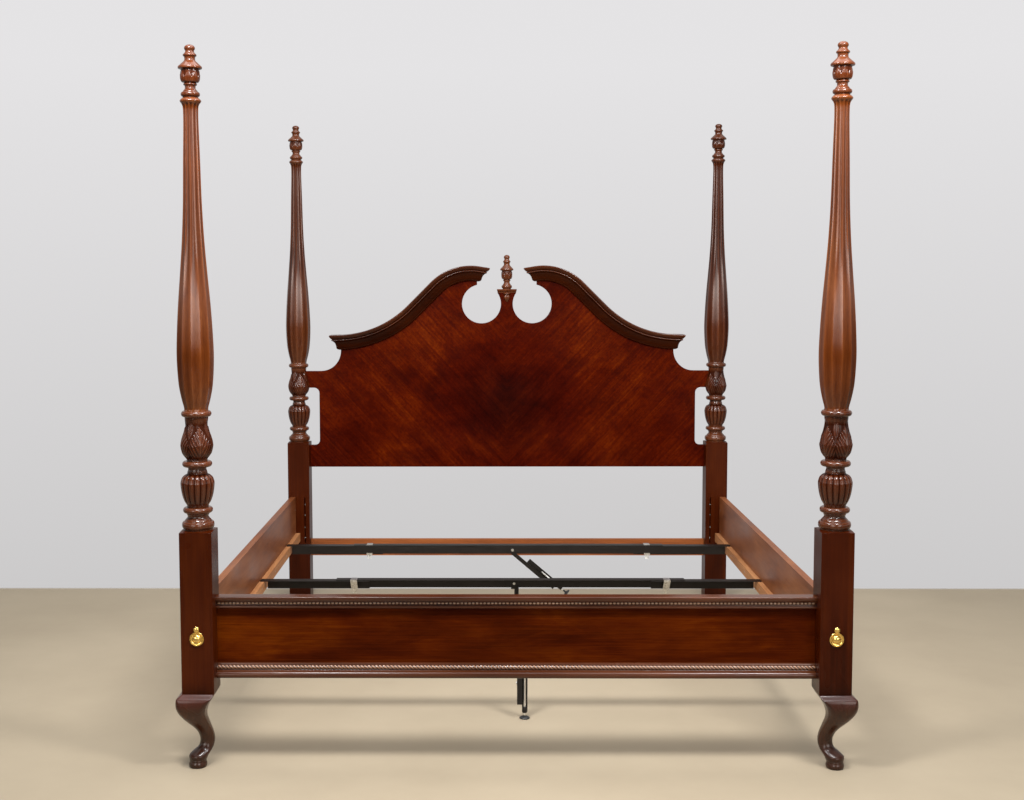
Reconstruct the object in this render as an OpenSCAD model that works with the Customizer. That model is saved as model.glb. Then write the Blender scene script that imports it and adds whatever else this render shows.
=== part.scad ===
// Four-poster bed with a swan-neck headboard, a low footboard and folding slat legs.
// Millimetres, +Z up. The origin is on the floor under the middle of the bed,
// the foot of the bed points to -Y and the headboard to +Y.

/* [Bed plan] */
// Distance between the post axes across the bed
post_gap_x = 1960; // [1900:1:2000]
// Distance between the foot post axes and the head post axes
post_gap_y = 2182; // [2120:1:2240]

/* [Post blocks] */
// Side of the square post blocks
block_w = 100; // [96:1:106]
// Height of the top of the blocks above the floor
block_top = 748; // [738:1:762]
// Height of the carved legs under the foot posts
leg_h = 241; // [232:1:250]
// How far the knee of a carved leg stands out from its block
knee_out = 20; // [14:1:24]
// Fall of the turned shoulder on top of a block
shoulder_fall = 4; // [3:1:8]

/* [Turned baluster] */
// Height of the base ring of the baluster
torus_h = 22; // [18:1:26]
// Diameter of the base ring
torus_d = 99; // [94:1:99]
// Height of the neck over the base ring
lower_neck_h = 26; // [20:1:30]
// Height of the three plain rings
ring_h = 18; // [14:1:22]
// Diameter of the three plain rings
ring_d = 91; // [84:1:98]
// Height of the lobed bulb
bulb_h = 106; // [95:1:118]
// Diameter of the lobed bulb
bulb_d = 104; // [98:1:110]
// Height of the neck between bulb and vase
upper_neck_h = 19; // [15:1:26]
// Height of the carved vase
vase_h = 137; // [128:1:150]
// Diameter of the carved vase
vase_d = 101; // [96:0.5:106]

/* [Post shafts and finials] */
// Height of a fluted shaft, from the baluster to its collar
shaft_h = 947; // [850:1:1050]
// Largest diameter of a shaft
belly_d = 115; // [100:1:125]
// Diameter of the collar on top of a shaft
collar_d = 64; // [58:1:70]
// Height of the finials
finial_h = 160; // [140:1:180]
// Diameter of the lid of a post finial
finial_d = 72; // [62:1:80]
// Diameter of the wooden pin under a finial
finial_pin_d = 12; // [8:1:16]
// Diameter of the steel dowel bolt between baluster and shaft
shaft_bolt_d = 10; // [8:1:14]
// Depth of the dowel bolt in each of the two
shaft_bolt_depth = 60; // [40:1:80]

/* [Headboard] */
// Thickness of the headboard panel
panel_t = 25; // [20:1:30]
// Distance of the panel's front face behind the post axes
panel_back = 8; // [0:1:12]
// Height of the lower edge of the panel
panel_bottom = 625; // [600:1:660]
// Height of the panel's ends under the side cut-outs
cutout_up = 103; // [80:1:110]
// Height of the side cut-outs
cutout_h = 273; // [255:1:285]
// Distance from a post axis to the inner edge of its cut-out
cutout_in = 95; // [80:1:110]
// Corner radius of the cut-outs
cutout_r = 25; // [10:1:30]
// Height of the tabs that reach the balusters
tab_h = 78; // [66:1:86]
// Radius of the hollow shoulders beside the crown
shoulder_r = 97; // [80:1:105]
// Distance from the middle of the bed to the outer end of the panel's crown
crown_end_x = 781; // [740:1:795]
// Radius of the two round openings
scroll_r = 91.5; // [80:0.5:95]
// Distance of their centres from the middle of the bed
scroll_x = 119; // [112:1:125]
// Distance of their centres below the crown's highest point
scroll_drop = 179; // [172:1:188]

/* [Crown moulding] */
// Rise of the crown's highest point over the tabs
crown_rise = 494; // [480:1:520]
// Distance of the highest point from the middle of the bed
crown_peak_x = 170; // [160:1:180]
// Radius of the crown over its highest point
crown_r_top = 262; // [245:1:280]
// Angle of the straight stretch to the floor
crown_slope = 45; // [42:0.5:48]
// Length of the straight stretch
crown_straight = 152; // [135:1:170]
// Radius of the hollow outer stretch
crown_r_out = 470; // [450:1:500]
// Distance from the middle of the bed to the moulding's inner mitre
crown_in_x = 128; // [120:1:135]
// Height of the moulding's face
crown_h = 72; // [60:1:76]
// How far the moulding stands out from the panel
crown_out = 50; // [40:1:56]

/* [Plinth and centre finial] */
// Rise of the top of the plinth cap over the centres of the round openings
plinth_rise = 69; // [66:1:84]
// Thickness of the plinth cap
plinth_h = 17; // [12:1:20]
// Width of the plinth cap
plinth_w = 92; // [84:1:98]
// Ratio of the centre finial's width to a post finial's
centre_ratio = 0.86; // [0.7:0.01:1]

/* [Footboard] */
// Height of the lower edge of the footboard
foot_bottom = 279; // [265:1:290]
// Height of the top of the footboard's cap
foot_top = 536; // [520:1:560]
// Thickness of the cap
cap_t = 16; // [12:1:20]
// Thickness of the footboard panel
foot_panel_t = 18; // [15:1:22]
// Distance of the panel's front face behind the foot post axes
foot_panel_back = 14; // [12:1:16]
// Height of the moulding under the cap
top_mould_h = 24; // [20:1:28]
// Height of the moulding along the lower edge
base_mould_h = 46; // [42:1:52]

/* [Side rails] */
// Thickness of the side rails
rail_t = 26; // [22:1:30]
// Height of the lower edge of the rails
rail_bottom = 279; // [272:1:282]
// Height of the top of the rails
rail_top = 490; // [480:1:500]
// Distance of the two hook kerfs from a post axis
kerf_off = 28; // [24:1:30]
// Width of the ledgers along the rails
ledger_w = 20; // [16:1:26]
// Height of the ledgers
ledger_h = 38; // [30:1:38]
// Height of the top of the ledgers
ledger_top = 318; // [318:1:330]
// Thickness of the head end cross rail
cross_t = 22; // [18:1:26]
// Height of the lower edge of the cross rail
cross_bottom = 204; // [190:1:215]
// Height of the top of the cross rail
cross_top = 282; // [270:1:290]

/* [Hooks] */
// Thickness of the steel hook plates
hook_t = 3; // [2:0.5:4]
// Diameter of the pins that the hooks drop over
pin_d = 6; // [5:0.5:7]
// Distance of the pins behind the post face
pin_in = 12; // [10:1:14]
// Height of the lowest pin
pin_low = 294; // [292:1:298]
// Distance between the two pins of a pair
pin_pitch = 50; // [44:1:54]
// Distance between the two pairs
pair_pitch = 108; // [102:1:112]

/* [Slats] */
// Distance of the front slat from the foot post axes
slat_front = 433; // [390:1:460]
// Distance of the middle slat from the foot post axes
slat_middle = 1175; // [1140:1:1220]
// Distance of the rear slat from the foot post axes
slat_rear = 1816; // [1780:1:1850]
// Width of both flanges of the slat angles
angle_w = 38; // [32:1:42]
// Thickness of the slat angles
angle_t = 3; // [2:0.5:4]
// Half length of a slat's centre section
centre_half = 691; // [660:1:720]
// Overlap of an end section and the centre section
slat_overlap = 131; // [110:1:160]
// Distance of the clips from the middle of the bed
clip_x = 620; // [610:1:640]
// Width of a clip
clip_w = 26; // [20:1:30]
// Travel of an end section on its ledger, inwards
slat_travel = 15; // [10:1:15]

/* [Slat legs] */
// Distance of the front leg's pivot to the right of the middle of the bed
front_pivot_x = 32; // [0:1:40]
// Distance of the middle leg's pivot to the right of the middle of the bed
middle_pivot_x = 16; // [0:1:40]
// Distance of the rear leg's pivot to the right of the middle of the bed
rear_pivot_x = 20; // [0:1:40]
// Height of the leg pivots
pivot_z = 303; // [299:1:303]
// Angle of the rear leg from the vertical, as it hangs
rear_swing = 49.5; // [0:0.5:80]
// How far the rear glide is screwed out
rear_glide_out = 12; // [0:1:24]
// Diameter of the glide discs
glide_d = 36; // [30:1:38]
// Diameter of the glide stems
stem_d = 8; // [6:1:9]
// Width of the leg angles
leg_w = 36; // [34:1:38]
// Thickness of the leg angles
leg_t = 2.5; // [2:0.5:3]

/* [Bolt covers] */
// Diameter of a brass bolt cover
cover_d = 45; // [38:1:50]
// Height of the cover's pivot
cover_pivot_z = 446; // [430:1:460]
// Distance from the pivot down to the middle of the cover
cover_drop = 30.5; // [29:0.5:34]
// Diameter of the pivot pins
cover_pin_d = 4; // [3:0.5:5]

/* [Clearances] */
// Clearance round fixed pins, tenons and bolts
fit_gap = 0.3; // [0.2:0.05:0.4]
// Radial clearance of the parts that turn or slide on a pin
run_gap = 0.05; // [0.03:0.01:0.09]
// Clearance between nested parts that move
slide_gap = 0.3; // [0.2:0.05:0.4]

/* [Hidden] */

mahogany = "#5a2113";
dark_mahogany = "#35130c";
raw_wood = "#b07a4a";
black_steel = "#232323";
zinc = "#c9ccce";
steel = "#8f9296";
brass = "#c9a24a";

eps = 0.1;
turn_fn = 64;

// Plan
post_x = post_gap_x / 2;
half_block = block_w / 2;
foot_y = -post_gap_y / 2 + knee_out / 2;
head_y = foot_y + post_gap_y;
inner_face_x = post_x - half_block;
rail_x = post_x + kerf_off;
rail_in = rail_x - rail_t / 2;
rail_y0 = foot_y + half_block;
rail_y1 = head_y - half_block;
panel_y = head_y + panel_back;
foot_panel_y = foot_y + foot_panel_back;

// Levels of the headboard
cutout_z0 = panel_bottom + cutout_up;
cutout_z1 = cutout_z0 + cutout_h;
tab_top = cutout_z1 + tab_h;
crown_top = tab_top + crown_rise;
scroll_z = crown_top - scroll_drop;
plinth_top = scroll_z + plinth_rise;

// Levels of the turned baluster
torus_z = block_top + shoulder_fall;
lower_neck_z = torus_z + torus_h;
lower_ring_z = lower_neck_z + lower_neck_h;
bulb_z = lower_ring_z + ring_h;
upper_neck_z = bulb_z + bulb_h;
middle_ring_z = upper_neck_z + upper_neck_h;
vase_z = middle_ring_z + ring_h;
upper_ring_z = vase_z + vase_h;
joint_z = upper_ring_z + ring_h;
finial_z = joint_z + shaft_h;
shaft_collar_h = 20;
finial_pin_h = 40;

// Mortises and tenons
tenon_l = 16;
tenon_t = 12;
leg_tenon_d = 30;
leg_tenon_h = 40;
tab_depth = 30;

// Hooks and kerfs
kerf_w = hook_t + 1.6;
kerf_depth = 30;
kerf_z0 = rail_bottom - 9;
kerf_z1 = rail_top - 2;
hook_reach = 2 * pin_in;
plate_in = 43;
plate_margin = 14;
pin_levels = [pin_low, pin_low + pin_pitch, pin_low + pair_pitch, pin_low + pair_pitch + pin_pitch];
plate_screw_in = 22;
plate_screw_z = [pin_low + 36, pin_low + pair_pitch + 28];
screw_d = 4.5;
screw_head_d = 9;

// Slats: the top of the centre section lies over the end sections, which lie on the ledgers
seat_gap = 0.2;
slat_top = ledger_top + seat_gap + 2 * angle_t + slide_gap;
slat_ys = [slat_front, slat_middle, slat_rear];
pivot_xs = [front_pivot_x, middle_pivot_x, rear_pivot_x];
end_in = centre_half - slat_overlap;
tip_gap = 2.5;
end_out = rail_in - tip_gap;
flange_out = rail_in - ledger_w - 7;
clip_t = 1.5;
pivot_d = 6;
leg_up = 14;
upper_bottom = 51;
extension_bottom = 21;
extension_top = 215;
ferrule_d = 17;
ferrule_h = 20;
glide_disc_h = 9;
stem_top = 150;
rod_x = 8;
flange_right = rod_x - ferrule_d / 2 - 0.5;
leg_head = 22;
rod_y = angle_t + slide_gap + ferrule_d / 2 + 0.7;
web_y = rod_y + stem_d / 2 + 0.5;
leg_bolt_d = 6;
leg_bolt_z = [120, 200];

// Eases between two radii, as a turner's ogee
function ogee(z0, r0, z1, r1, n = 6) =
  [for (i = [0 : n]) [r0 + (r1 - r0) * (1 - cos(180 * i / n)) / 2, z0 + (z1 - z0) * i / n]];

// A half-round bead between two levels
function bead(z0, z1, r_core, r_max, n = 8) =
  [for (i = [0 : n]) [r_core + (r_max - r_core) * sin(180 * i / n), (z0 + z1) / 2 - (z1 - z0) / 2 * cos(180 * i / n)]];

// A smooth curve through hand-set points, with n steps between two of them
function curve_at(p0, p1, p2, p3, t) =
  0.5 * (2 * p1 + (p2 - p0) * t + (2 * p0 - 5 * p1 + 4 * p2 - p3) * t * t + (3 * p1 - p0 - 3 * p2 + p3) * t * t * t);
function curve(p, n = 4) =
  concat([for (i = [0 : len(p) - 2], k = [0 : n - 1])
    curve_at(p[max(i - 1, 0)], p[i], p[i + 1], p[min(i + 2, len(p) - 1)], k / n)], [p[len(p) - 1]]);

// A shape given as shares of a radius and a height, set at a level
function shaped(shape, z0, h, r) = [for (p = curve(shape)) [p[0] * r, z0 + p[1] * h]];

// Drops points that repeat the one before
function distinct(p) = [for (i = [0 : len(p) - 1]) if (i == 0 || norm(p[i] - p[max(i - 1, 0)]) > 0.05) p[i]];

// The turned forms, as shares of the largest radius and of the height
bulb_shape = [[0.62, 0], [0.66, 0.07], [0.8, 0.19], [0.93, 0.4], [1, 0.66], [0.97, 0.78], [0.87, 0.89], [0.6, 1]];
vase_shape = [[0.62, 0], [0.65, 0.05], [0.8, 0.12], [0.92, 0.2], [1, 0.335], [0.985, 0.41], [0.92, 0.52],
  [0.81, 0.64], [0.735, 0.76], [0.7, 0.87], [0.715, 1]];
shaft_shape = [[0.64, 0], [0.66, 0.012], [0.8, 0.046], [0.93, 0.094], [1, 0.175], [0.965, 0.255], [0.87, 0.352],
  [0.73, 0.455], [0.6, 0.56], [0.505, 0.68], [0.452, 0.82], [0.4, 0.95], [0.415, 1]];
// The finial's outline: share of the lid's radius, share of the height
finial_shape = [
  [[0.6, 0], [0.64, 0.012]],
  [for (p = bead(0.03, 0.115, 0.66, 0.8)) p],
  [for (p = ogee(0.118, 0.62, 0.19, 0.44)) p],
  [for (p = bead(0.235, 0.28, 0.46, 0.57, 6)) p],
  curve([[0.5, 0.285], [0.7, 0.3], [0.8, 0.34], [0.84, 0.41], [0.82, 0.49], [0.8, 0.53]], 3),
  [[0.9, 0.545], [1, 0.557], [1, 0.583], [0.93, 0.6]],
  curve([[0.84, 0.62], [0.72, 0.645], [0.6, 0.67], [0.49, 0.695], [0.445, 0.72], [0.45, 0.75]], 3),
  [for (p = bead(0.775, 0.825, 0.47, 0.57, 6)) p],
  [[0.44, 0.845], [0.367, 0.869]],
  [for (i = [3 : 8]) let (a = 180 * i / 9) [0.455 * sin(a), 0.93 - 0.07 * cos(a)]]
];

function baluster_outline() = distinct(concat(
  [[torus_d / 2 - 6, block_top - 1], [torus_d / 2 - 6, torus_z]],
  bead(torus_z, lower_neck_z, torus_d / 2 - 6, torus_d / 2),
  ogee(lower_neck_z, torus_d / 2 - 8, lower_neck_z + 0.6 * lower_neck_h, bulb_d * 0.306),
  ogee(lower_neck_z + 0.6 * lower_neck_h, bulb_d * 0.306, lower_ring_z, ring_d / 2 - 10, 3),
  bead(lower_ring_z, bulb_z, ring_d / 2 - 8, ring_d / 2),
  shaped(bulb_shape, bulb_z, bulb_h, bulb_d / 2),
  ogee(upper_neck_z + 0.1 * upper_neck_h, bulb_d * 0.29, upper_neck_z + 0.6 * upper_neck_h, bulb_d * 0.267, 4),
  ogee(upper_neck_z + 0.7 * upper_neck_h, bulb_d * 0.267, middle_ring_z, bulb_d * 0.28, 3),
  bead(middle_ring_z, vase_z, ring_d / 2 - 8, ring_d / 2),
  shaped(vase_shape, vase_z, vase_h, vase_d / 2),
  bead(upper_ring_z, joint_z, ring_d / 2 - 7, ring_d / 2),
  [[ring_d / 2 - 7, joint_z]]
));

function shaft_outline() = distinct(concat(
  shaped(shaft_shape, joint_z, shaft_h - shaft_collar_h, belly_d / 2),
  bead(finial_z - shaft_collar_h, finial_z, collar_d / 2 - 8, collar_d / 2)
));

function finial_outline(z0, ratio) =
  [for (part = finial_shape, p = part) [p[0] * finial_d / 2 * ratio, z0 + p[1] * finial_h]];

module turned(outline) {
  last = len(outline) - 1;
  rotate_extrude($fn = turn_fn)
    polygon(concat([[0, outline[0][1]]], outline, [[0, outline[last][1]]]));
}

// Everything on one side of the bed is drawn at +X and mirrored for the left
module side(s) {
  if (s < 0) mirror([1, 0, 0]) children();
  else children();
}

// A prism whose outline is drawn in Y and Z, running along X from x0 to x1
module along_x(x0, x1) {
  translate([x0, 0, 0]) rotate([90, 0, 90]) linear_extrude(x1 - x0) children();
}

// A prism whose outline is drawn in X and Z, running along Y from y0 to y1
module along_y(y0, y1) {
  translate([0, y1, 0]) rotate([90, 0, 0]) linear_extrude(y1 - y0) children();
}

// A bore or rod along X, Y or Z
module rod_x(x0, x1, d) {
  translate([x0, 0, 0]) rotate([0, 90, 0]) cylinder(d = d, h = x1 - x0, $fn = 48);
}
module rod_y(y0, y1, d) {
  translate([0, y1, 0]) rotate([90, 0, 0]) cylinder(d = d, h = y1 - y0, $fn = 48);
}
module rod_z(z0, z1, d) {
  translate([0, 0, z0]) cylinder(d = d, h = z1 - z0, $fn = 48);
}

// A box from one corner to the other
module span(low, high) {
  translate(low) cube(high - low);
}

// Square block with a turned shoulder on top, and the baluster over it
module block_and_baluster(z0) {
  corner_r = half_block * sqrt(2);
  intersection() {
    span([-half_block, -half_block, z0], [half_block, half_block, block_top + eps]);
    rotate_extrude($fn = turn_fn) polygon([
      [0, z0 - 1], [corner_r + 5, z0 - 1], [corner_r + 5, block_top - shoulder_fall],
      [half_block, block_top - 2], [half_block - 6, block_top], [0, block_top]
    ]);
  }
  turned(baluster_outline());
}

// What is cut from a post, in the post's own place: the face with the kerfs looks along +Y
module kerfs_and_pin_bores() {
  for (off = [-kerf_off, kerf_off])
    span([off - kerf_w / 2, half_block - kerf_depth, kerf_z0], [off + kerf_w / 2, half_block + 1, kerf_z1]);
  for (z = pin_levels)
    translate([0, half_block - pin_in, z])
      rod_x(-half_block - 1, kerf_off + kerf_w / 2 + 6, pin_d + 2 * run_gap);
}

module foot_post(s) {
  color(dark_mahogany) side(s) translate([post_x, foot_y, 0]) difference() {
    block_and_baluster(leg_h);
    kerfs_and_pin_bores();
    rod_z(leg_h - 1, leg_h + leg_tenon_h + 1, leg_tenon_d + 2 * fit_gap);
    rod_z(joint_z - shaft_bolt_depth, joint_z + 1, shaft_bolt_d + 2 * fit_gap);
    footboard_tenon(post_x, foot_y, fit_gap);
    translate([0, 0, cover_pivot_z]) rod_y(-half_block - 1, -half_block + 26, cover_pin_d + 2 * run_gap);
  }
}

module head_post(s) {
  color(dark_mahogany) side(s) translate([post_x, head_y, 0]) difference() {
    block_and_baluster(0);
    mirror([0, 1, 0]) kerfs_and_pin_bores();
    rod_z(joint_z - shaft_bolt_depth, joint_z + 1, shaft_bolt_d + 2 * fit_gap);
    cross_rail_tenon(post_x, head_y, fit_gap);
    headboard_tenon(post_x, head_y, fit_gap);
    headboard_tab(post_x, head_y, fit_gap);
  }
}

// Tenons, drawn relative to a post axis and grown by a gap for the mortise
module footboard_tenon(px, py, gap) {
  y0 = foot_panel_y + (foot_panel_t - tenon_t) / 2 - py;
  span([inner_face_x - px - eps, y0 - gap, foot_bottom + 21 - gap],
    [inner_face_x - px + tenon_l + gap, y0 + tenon_t + gap, foot_top - cap_t - 20 + gap]);
}
module cross_rail_tenon(px, py, gap) {
  span([inner_face_x - px - eps, head_y - tenon_t / 2 - py - gap, cross_bottom + 10 - gap],
    [inner_face_x - px + tenon_l + gap, head_y + tenon_t / 2 - py + gap, cross_top - 10 + gap]);
}
module headboard_tenon(px, py, gap) {
  y0 = panel_y + (panel_t - tenon_t) / 2 - py;
  span([inner_face_x - px - eps, y0 - gap, panel_bottom + 12 - gap],
    [inner_face_x - px + tenon_l + gap, y0 + tenon_t + gap, cutout_z0 - 12 + gap]);
}
module headboard_tab(px, py, gap) {
  span([inner_face_x - px - 40, panel_y - py - gap, cutout_z1 - gap],
    [inner_face_x - px + tab_depth + gap, panel_y + panel_t - py + gap, tab_top + gap]);
}

module shaft(s, y) {
  color(mahogany) side(s) translate([post_x, y, 0]) difference() {
    turned(shaft_outline());
    rod_z(joint_z - 1, joint_z + shaft_bolt_depth, shaft_bolt_d + 2 * fit_gap);
    rod_z(finial_z - finial_pin_h - 2, finial_z + 1, finial_pin_d + 2 * fit_gap);
  }
}

module finial(s, y) {
  color(mahogany) side(s) translate([post_x, y, 0]) {
    turned(finial_outline(finial_z, 1));
    rod_z(finial_z - finial_pin_h, finial_z + 1, finial_pin_d);
  }
}

module shaft_bolts() {
  color(steel)
    for (s = [-1, 1], y = [foot_y, head_y])
      translate([s * post_x, y, 0])
        rod_z(joint_z - shaft_bolt_depth + 1, joint_z + shaft_bolt_depth - 1, shaft_bolt_d);
}

// Carved leg: each section as shares of its height, of half the block (inner face),
// of the knee (outer face) and of half the block (corner radius).
// A section is a rounded square, and the leg bends outwards and forwards alike.
knee = half_block + knee_out;
leg_shape = [
  [0.087, -0.26, 0.514, 0.49], [0.108, -0.33, 0.543, 0.54], [0.141, -0.4, 0.564, 0.59],
  [0.166, -0.46, 0.536, 0.58], [0.199, -0.56, 0.4, 0.52], [0.241, -0.66, 0.214, 0.44],
  [0.29, -0.716, 0.137, 0.42], [0.349, -0.734, 0.12, 0.41], [0.407, -0.706, 0.161, 0.41],
  [0.465, -0.646, 0.244, 0.44], [0.531, -0.56, 0.4, 0.48], [0.598, -0.48, 0.593, 0.54],
  [0.664, -0.404, 0.766, 0.58], [0.73, -0.38, 0.9, 0.56], [0.788, -0.43, 0.971, 0.5],
  [0.842, -0.52, 1, 0.42], [0.905, -0.7, 0.971, 0.3], [0.944, -0.86, 0.945, 0.2],
  [0.951, -0.88, 0.925, 0.18]
];
leg_rows = concat([for (q = leg_shape) [q[0] * leg_h, q[1] * half_block, q[2] * knee, q[3] * half_block]],
  [[leg_h, -half_block, half_block, 3]]);
pad_centre = 0.164 * knee;
pad_outline = [[23, 0], [26, 1.5], [28, 6], [28, 11], [27, 15.5], [26, 19], [26, 22], [24.5, 25], [21, 27]];
section_steps = 5;

// Points of one rounded square section, counter-clockwise seen from above
function section_points(z, a, b, r) =
  let (rr = min(r, (b - a) / 2 - 0.1), lo = a + rr, hi = b - rr, corner = [[hi, hi], [lo, hi], [lo, lo], [hi, lo]])
  [for (c = [0 : 3], k = [0 : section_steps])
    let (t = 90 * c + 90 * k / section_steps) [corner[c][0] + rr * cos(t), corner[c][1] + rr * sin(t), z]];

// Side faces between equal rings of points, with flat ends
function ring_faces(rings, count) = concat(
  [[for (k = [0 : count - 1]) k]],
  [for (i = [0 : rings - 2], k = [0 : count - 1], half = [0, 1])
    let (a = i * count + k, b = i * count + (k + 1) % count)
    half == 0 ? [a, a + count, b] : [b, a + count, b + count]],
  [[for (k = [count - 1 : -1 : 0]) (rings - 1) * count + k]]
);

module foot_leg(s) {
  rows = curve(leg_rows, 2);
  count = 4 * (section_steps + 1);
  color(dark_mahogany) side(s) translate([post_x, foot_y, 0]) {
    mirror([0, 1, 0])
      polyhedron(points = [for (r = rows, p = section_points(r[0], r[1], r[2], r[3])) p],
        faces = ring_faces(len(rows), count));
    translate([pad_centre, -pad_centre, 0]) turned(pad_outline);
    rod_z(leg_h - 12, leg_h + leg_tenon_h, leg_tenon_d);
  }
}

// The crown's top edge, from the inner mitre to the outer one: a rounded top,
// a straight slope and a hollow outer stretch. Each point is x, z and slope.
crown_top_z = crown_top - crown_r_top;
slope_x0 = crown_peak_x + crown_r_top * sin(crown_slope);
slope_z0 = crown_top_z + crown_r_top * cos(crown_slope);
slope_x1 = slope_x0 + crown_straight * cos(crown_slope);
slope_z1 = slope_z0 - crown_straight * sin(crown_slope);
hollow_x = slope_x1 + crown_r_out * sin(crown_slope);
hollow_z = slope_z1 + crown_r_out * cos(crown_slope);
inner_angle = asin((crown_in_x - crown_peak_x) / crown_r_top);
outer_angle = asin((hollow_x - crown_end_x) / crown_r_out);
crown_line = concat(
  [for (i = [0 : 14]) let (a = inner_angle + (crown_slope - inner_angle) * i / 14)
    [crown_peak_x + crown_r_top * sin(a), crown_top_z + crown_r_top * cos(a), a]],
  [for (i = [0 : 16]) let (a = crown_slope + (outer_angle - crown_slope) * i / 16)
    [hollow_x - crown_r_out * sin(a), hollow_z - crown_r_out * cos(a), a]]
);
crown_first = crown_line[0];
crown_last = crown_line[len(crown_line) - 1];

// A point of the crown line, moved down square to the line
function below(p, v) = [p[0] - v * sin(p[2]), p[1] - v * cos(p[2])];

// The moulding's section: share of its projection, share of its height
crown_section = [
  [0, 0], [0.95, 0], [1, 0.03], [1, 0.09], [0.96, 0.14], [0.89, 0.2], [0.81, 0.255], [0.755, 0.29],
  [0.78, 0.305], [0.8, 0.34], [0.78, 0.372], [0.7, 0.39], [0.58, 0.46], [0.48, 0.56], [0.42, 0.67], [0.39, 0.78],
  [0.385, 0.85], [0.35, 0.89], [0.28, 0.94], [0.17, 0.975], [0, 1]
];
crown_gap = 0.2;

// One ring of the moulding: "ahead" pushes the mitre past the end of the line,
// and the outer end is cut upright
function crown_ring(p, ahead, back) = [for (q = crown_section)
  let (u = q[0] * crown_out, v = q[1] * crown_h, b = ahead > 0 ? [p[0], p[1] - v / cos(p[2])] : below(p, v))
  [b[0] + ahead * u * cos(p[2]), back ? panel_y + panel_t : panel_y - u, b[1] - ahead * u * sin(p[2])]];

module crown_moulding(s) {
  last = len(crown_line) - 1;
  rings = concat(
    [crown_ring(crown_first, -1, true), crown_ring(crown_first, -1, false)],
    [for (i = [1 : last - 1]) crown_ring(crown_line[i], 0, false)],
    [crown_ring(crown_last, 1, false), crown_ring(crown_last, 1, true)]
  );
  color(dark_mahogany) side(s)
    polyhedron(points = [for (r = rings, p = r) p], faces = ring_faces(len(rings), len(crown_section)));
}

// Right half of the headboard's outline in X and Z, from the lower edge to the neck,
// without its round openings
panel_drop = 3;
neck_z = plinth_top - plinth_h;
neck_half = scroll_x - sqrt(scroll_r * scroll_r - (neck_z - scroll_z) * (neck_z - scroll_z));
throat = below(crown_first, crown_h);
cutout_x = post_x - cutout_in;
function round_corner(x, z, r, a0, a1, n = 6) =
  [for (i = [0 : n]) let (a = a0 + (a1 - a0) * i / n) [x + r * cos(a), z + r * sin(a)]];
headboard_half = concat(
  [[inner_face_x, panel_bottom], [inner_face_x, cutout_z0]],
  round_corner(cutout_x + cutout_r, cutout_z0 + cutout_r, cutout_r, 270, 180),
  round_corner(cutout_x + cutout_r, cutout_z1 - cutout_r, cutout_r, 180, 90),
  [[inner_face_x + tab_depth, cutout_z1], [inner_face_x + tab_depth, tab_top]],
  round_corner(crown_end_x + shoulder_r, tab_top + shoulder_r, shoulder_r, 270, 180, 12),
  [[crown_end_x, crown_last[1] - panel_drop]],
  [for (i = [len(crown_line) - 2 : -1 : 0]) below(crown_line[i], panel_drop)],
  [throat, [throat[0], scroll_z], [neck_half + 1, scroll_z], [neck_half + 1, neck_z]]
);
headboard_outline = concat(headboard_half,
  [for (i = [len(headboard_half) - 1 : -1 : 0]) [-headboard_half[i][0], headboard_half[i][1]]]);

module headboard_panel() {
  color(mahogany) {
    along_y(panel_y, panel_y + panel_t) difference() {
      polygon(headboard_outline);
      for (s = [-1, 1]) translate([s * scroll_x, scroll_z]) circle(r = scroll_r, $fn = 96);
    }
    for (s = [-1, 1]) side(s) headboard_tenon(0, 0, 0);
  }
}

// Cap of the plinth: a moulded slab, cut from two crossing outlines
plinth_over = 12;
function cap_edge(low, high, s) = [
  [s * low, neck_z], [s * (low + 0.15 * (high - low)), neck_z + 0.3 * plinth_h],
  [s * (low + 0.6 * (high - low)), neck_z + 0.5 * plinth_h], [s * high, neck_z + 0.62 * plinth_h], [s * high, plinth_top]
];
module cap_outline(low, high) {
  left = cap_edge(low, high, -1);
  polygon(concat(cap_edge(low, high, 1), [for (i = [4 : -1 : 0]) left[i]]));
}
plinth_y = panel_y + panel_t / 2;
plinth_depth = panel_t + 2 * plinth_over;
module plinth_cap() {
  color(mahogany) intersection() {
    along_y(plinth_y - plinth_depth / 2 - 1, plinth_y + plinth_depth / 2 + 1) cap_outline(neck_half, plinth_w / 2);
    translate([0, plinth_y, 0])
      along_x(-plinth_w / 2 - 1, plinth_w / 2 + 1) cap_outline(panel_t / 2 + 2, plinth_depth / 2);
  }
}

// Carved drop on the front of the neck, half turned
drop_outline = [[14, 0], [17, -3], [15.5, -6.5], [10, -9], [11.5, -12], [13.5, -17], [14, -23], [11.5, -31], [6.5, -38],
  [1.5, -43]];
module plinth_drop() {
  color(mahogany) intersection() {
    translate([0, panel_y, neck_z])
      rotate_extrude($fn = turn_fn) polygon(concat([[0, 0]], drop_outline, [[0, -43]]));
    span([-20, panel_y - 20, neck_z - 45], [20, panel_y, neck_z + 1]);
  }
}

module centre_finial() {
  color(mahogany) translate([0, plinth_y, 0]) turned(finial_outline(plinth_top, centre_ratio));
}

module head_cross_rail() {
  color(raw_wood) {
    span([-inner_face_x, head_y - cross_t / 2, cross_bottom], [inner_face_x, head_y + cross_t / 2, cross_top]);
    for (s = [-1, 1]) side(s) cross_rail_tenon(0, 0, 0);
  }
}

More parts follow.
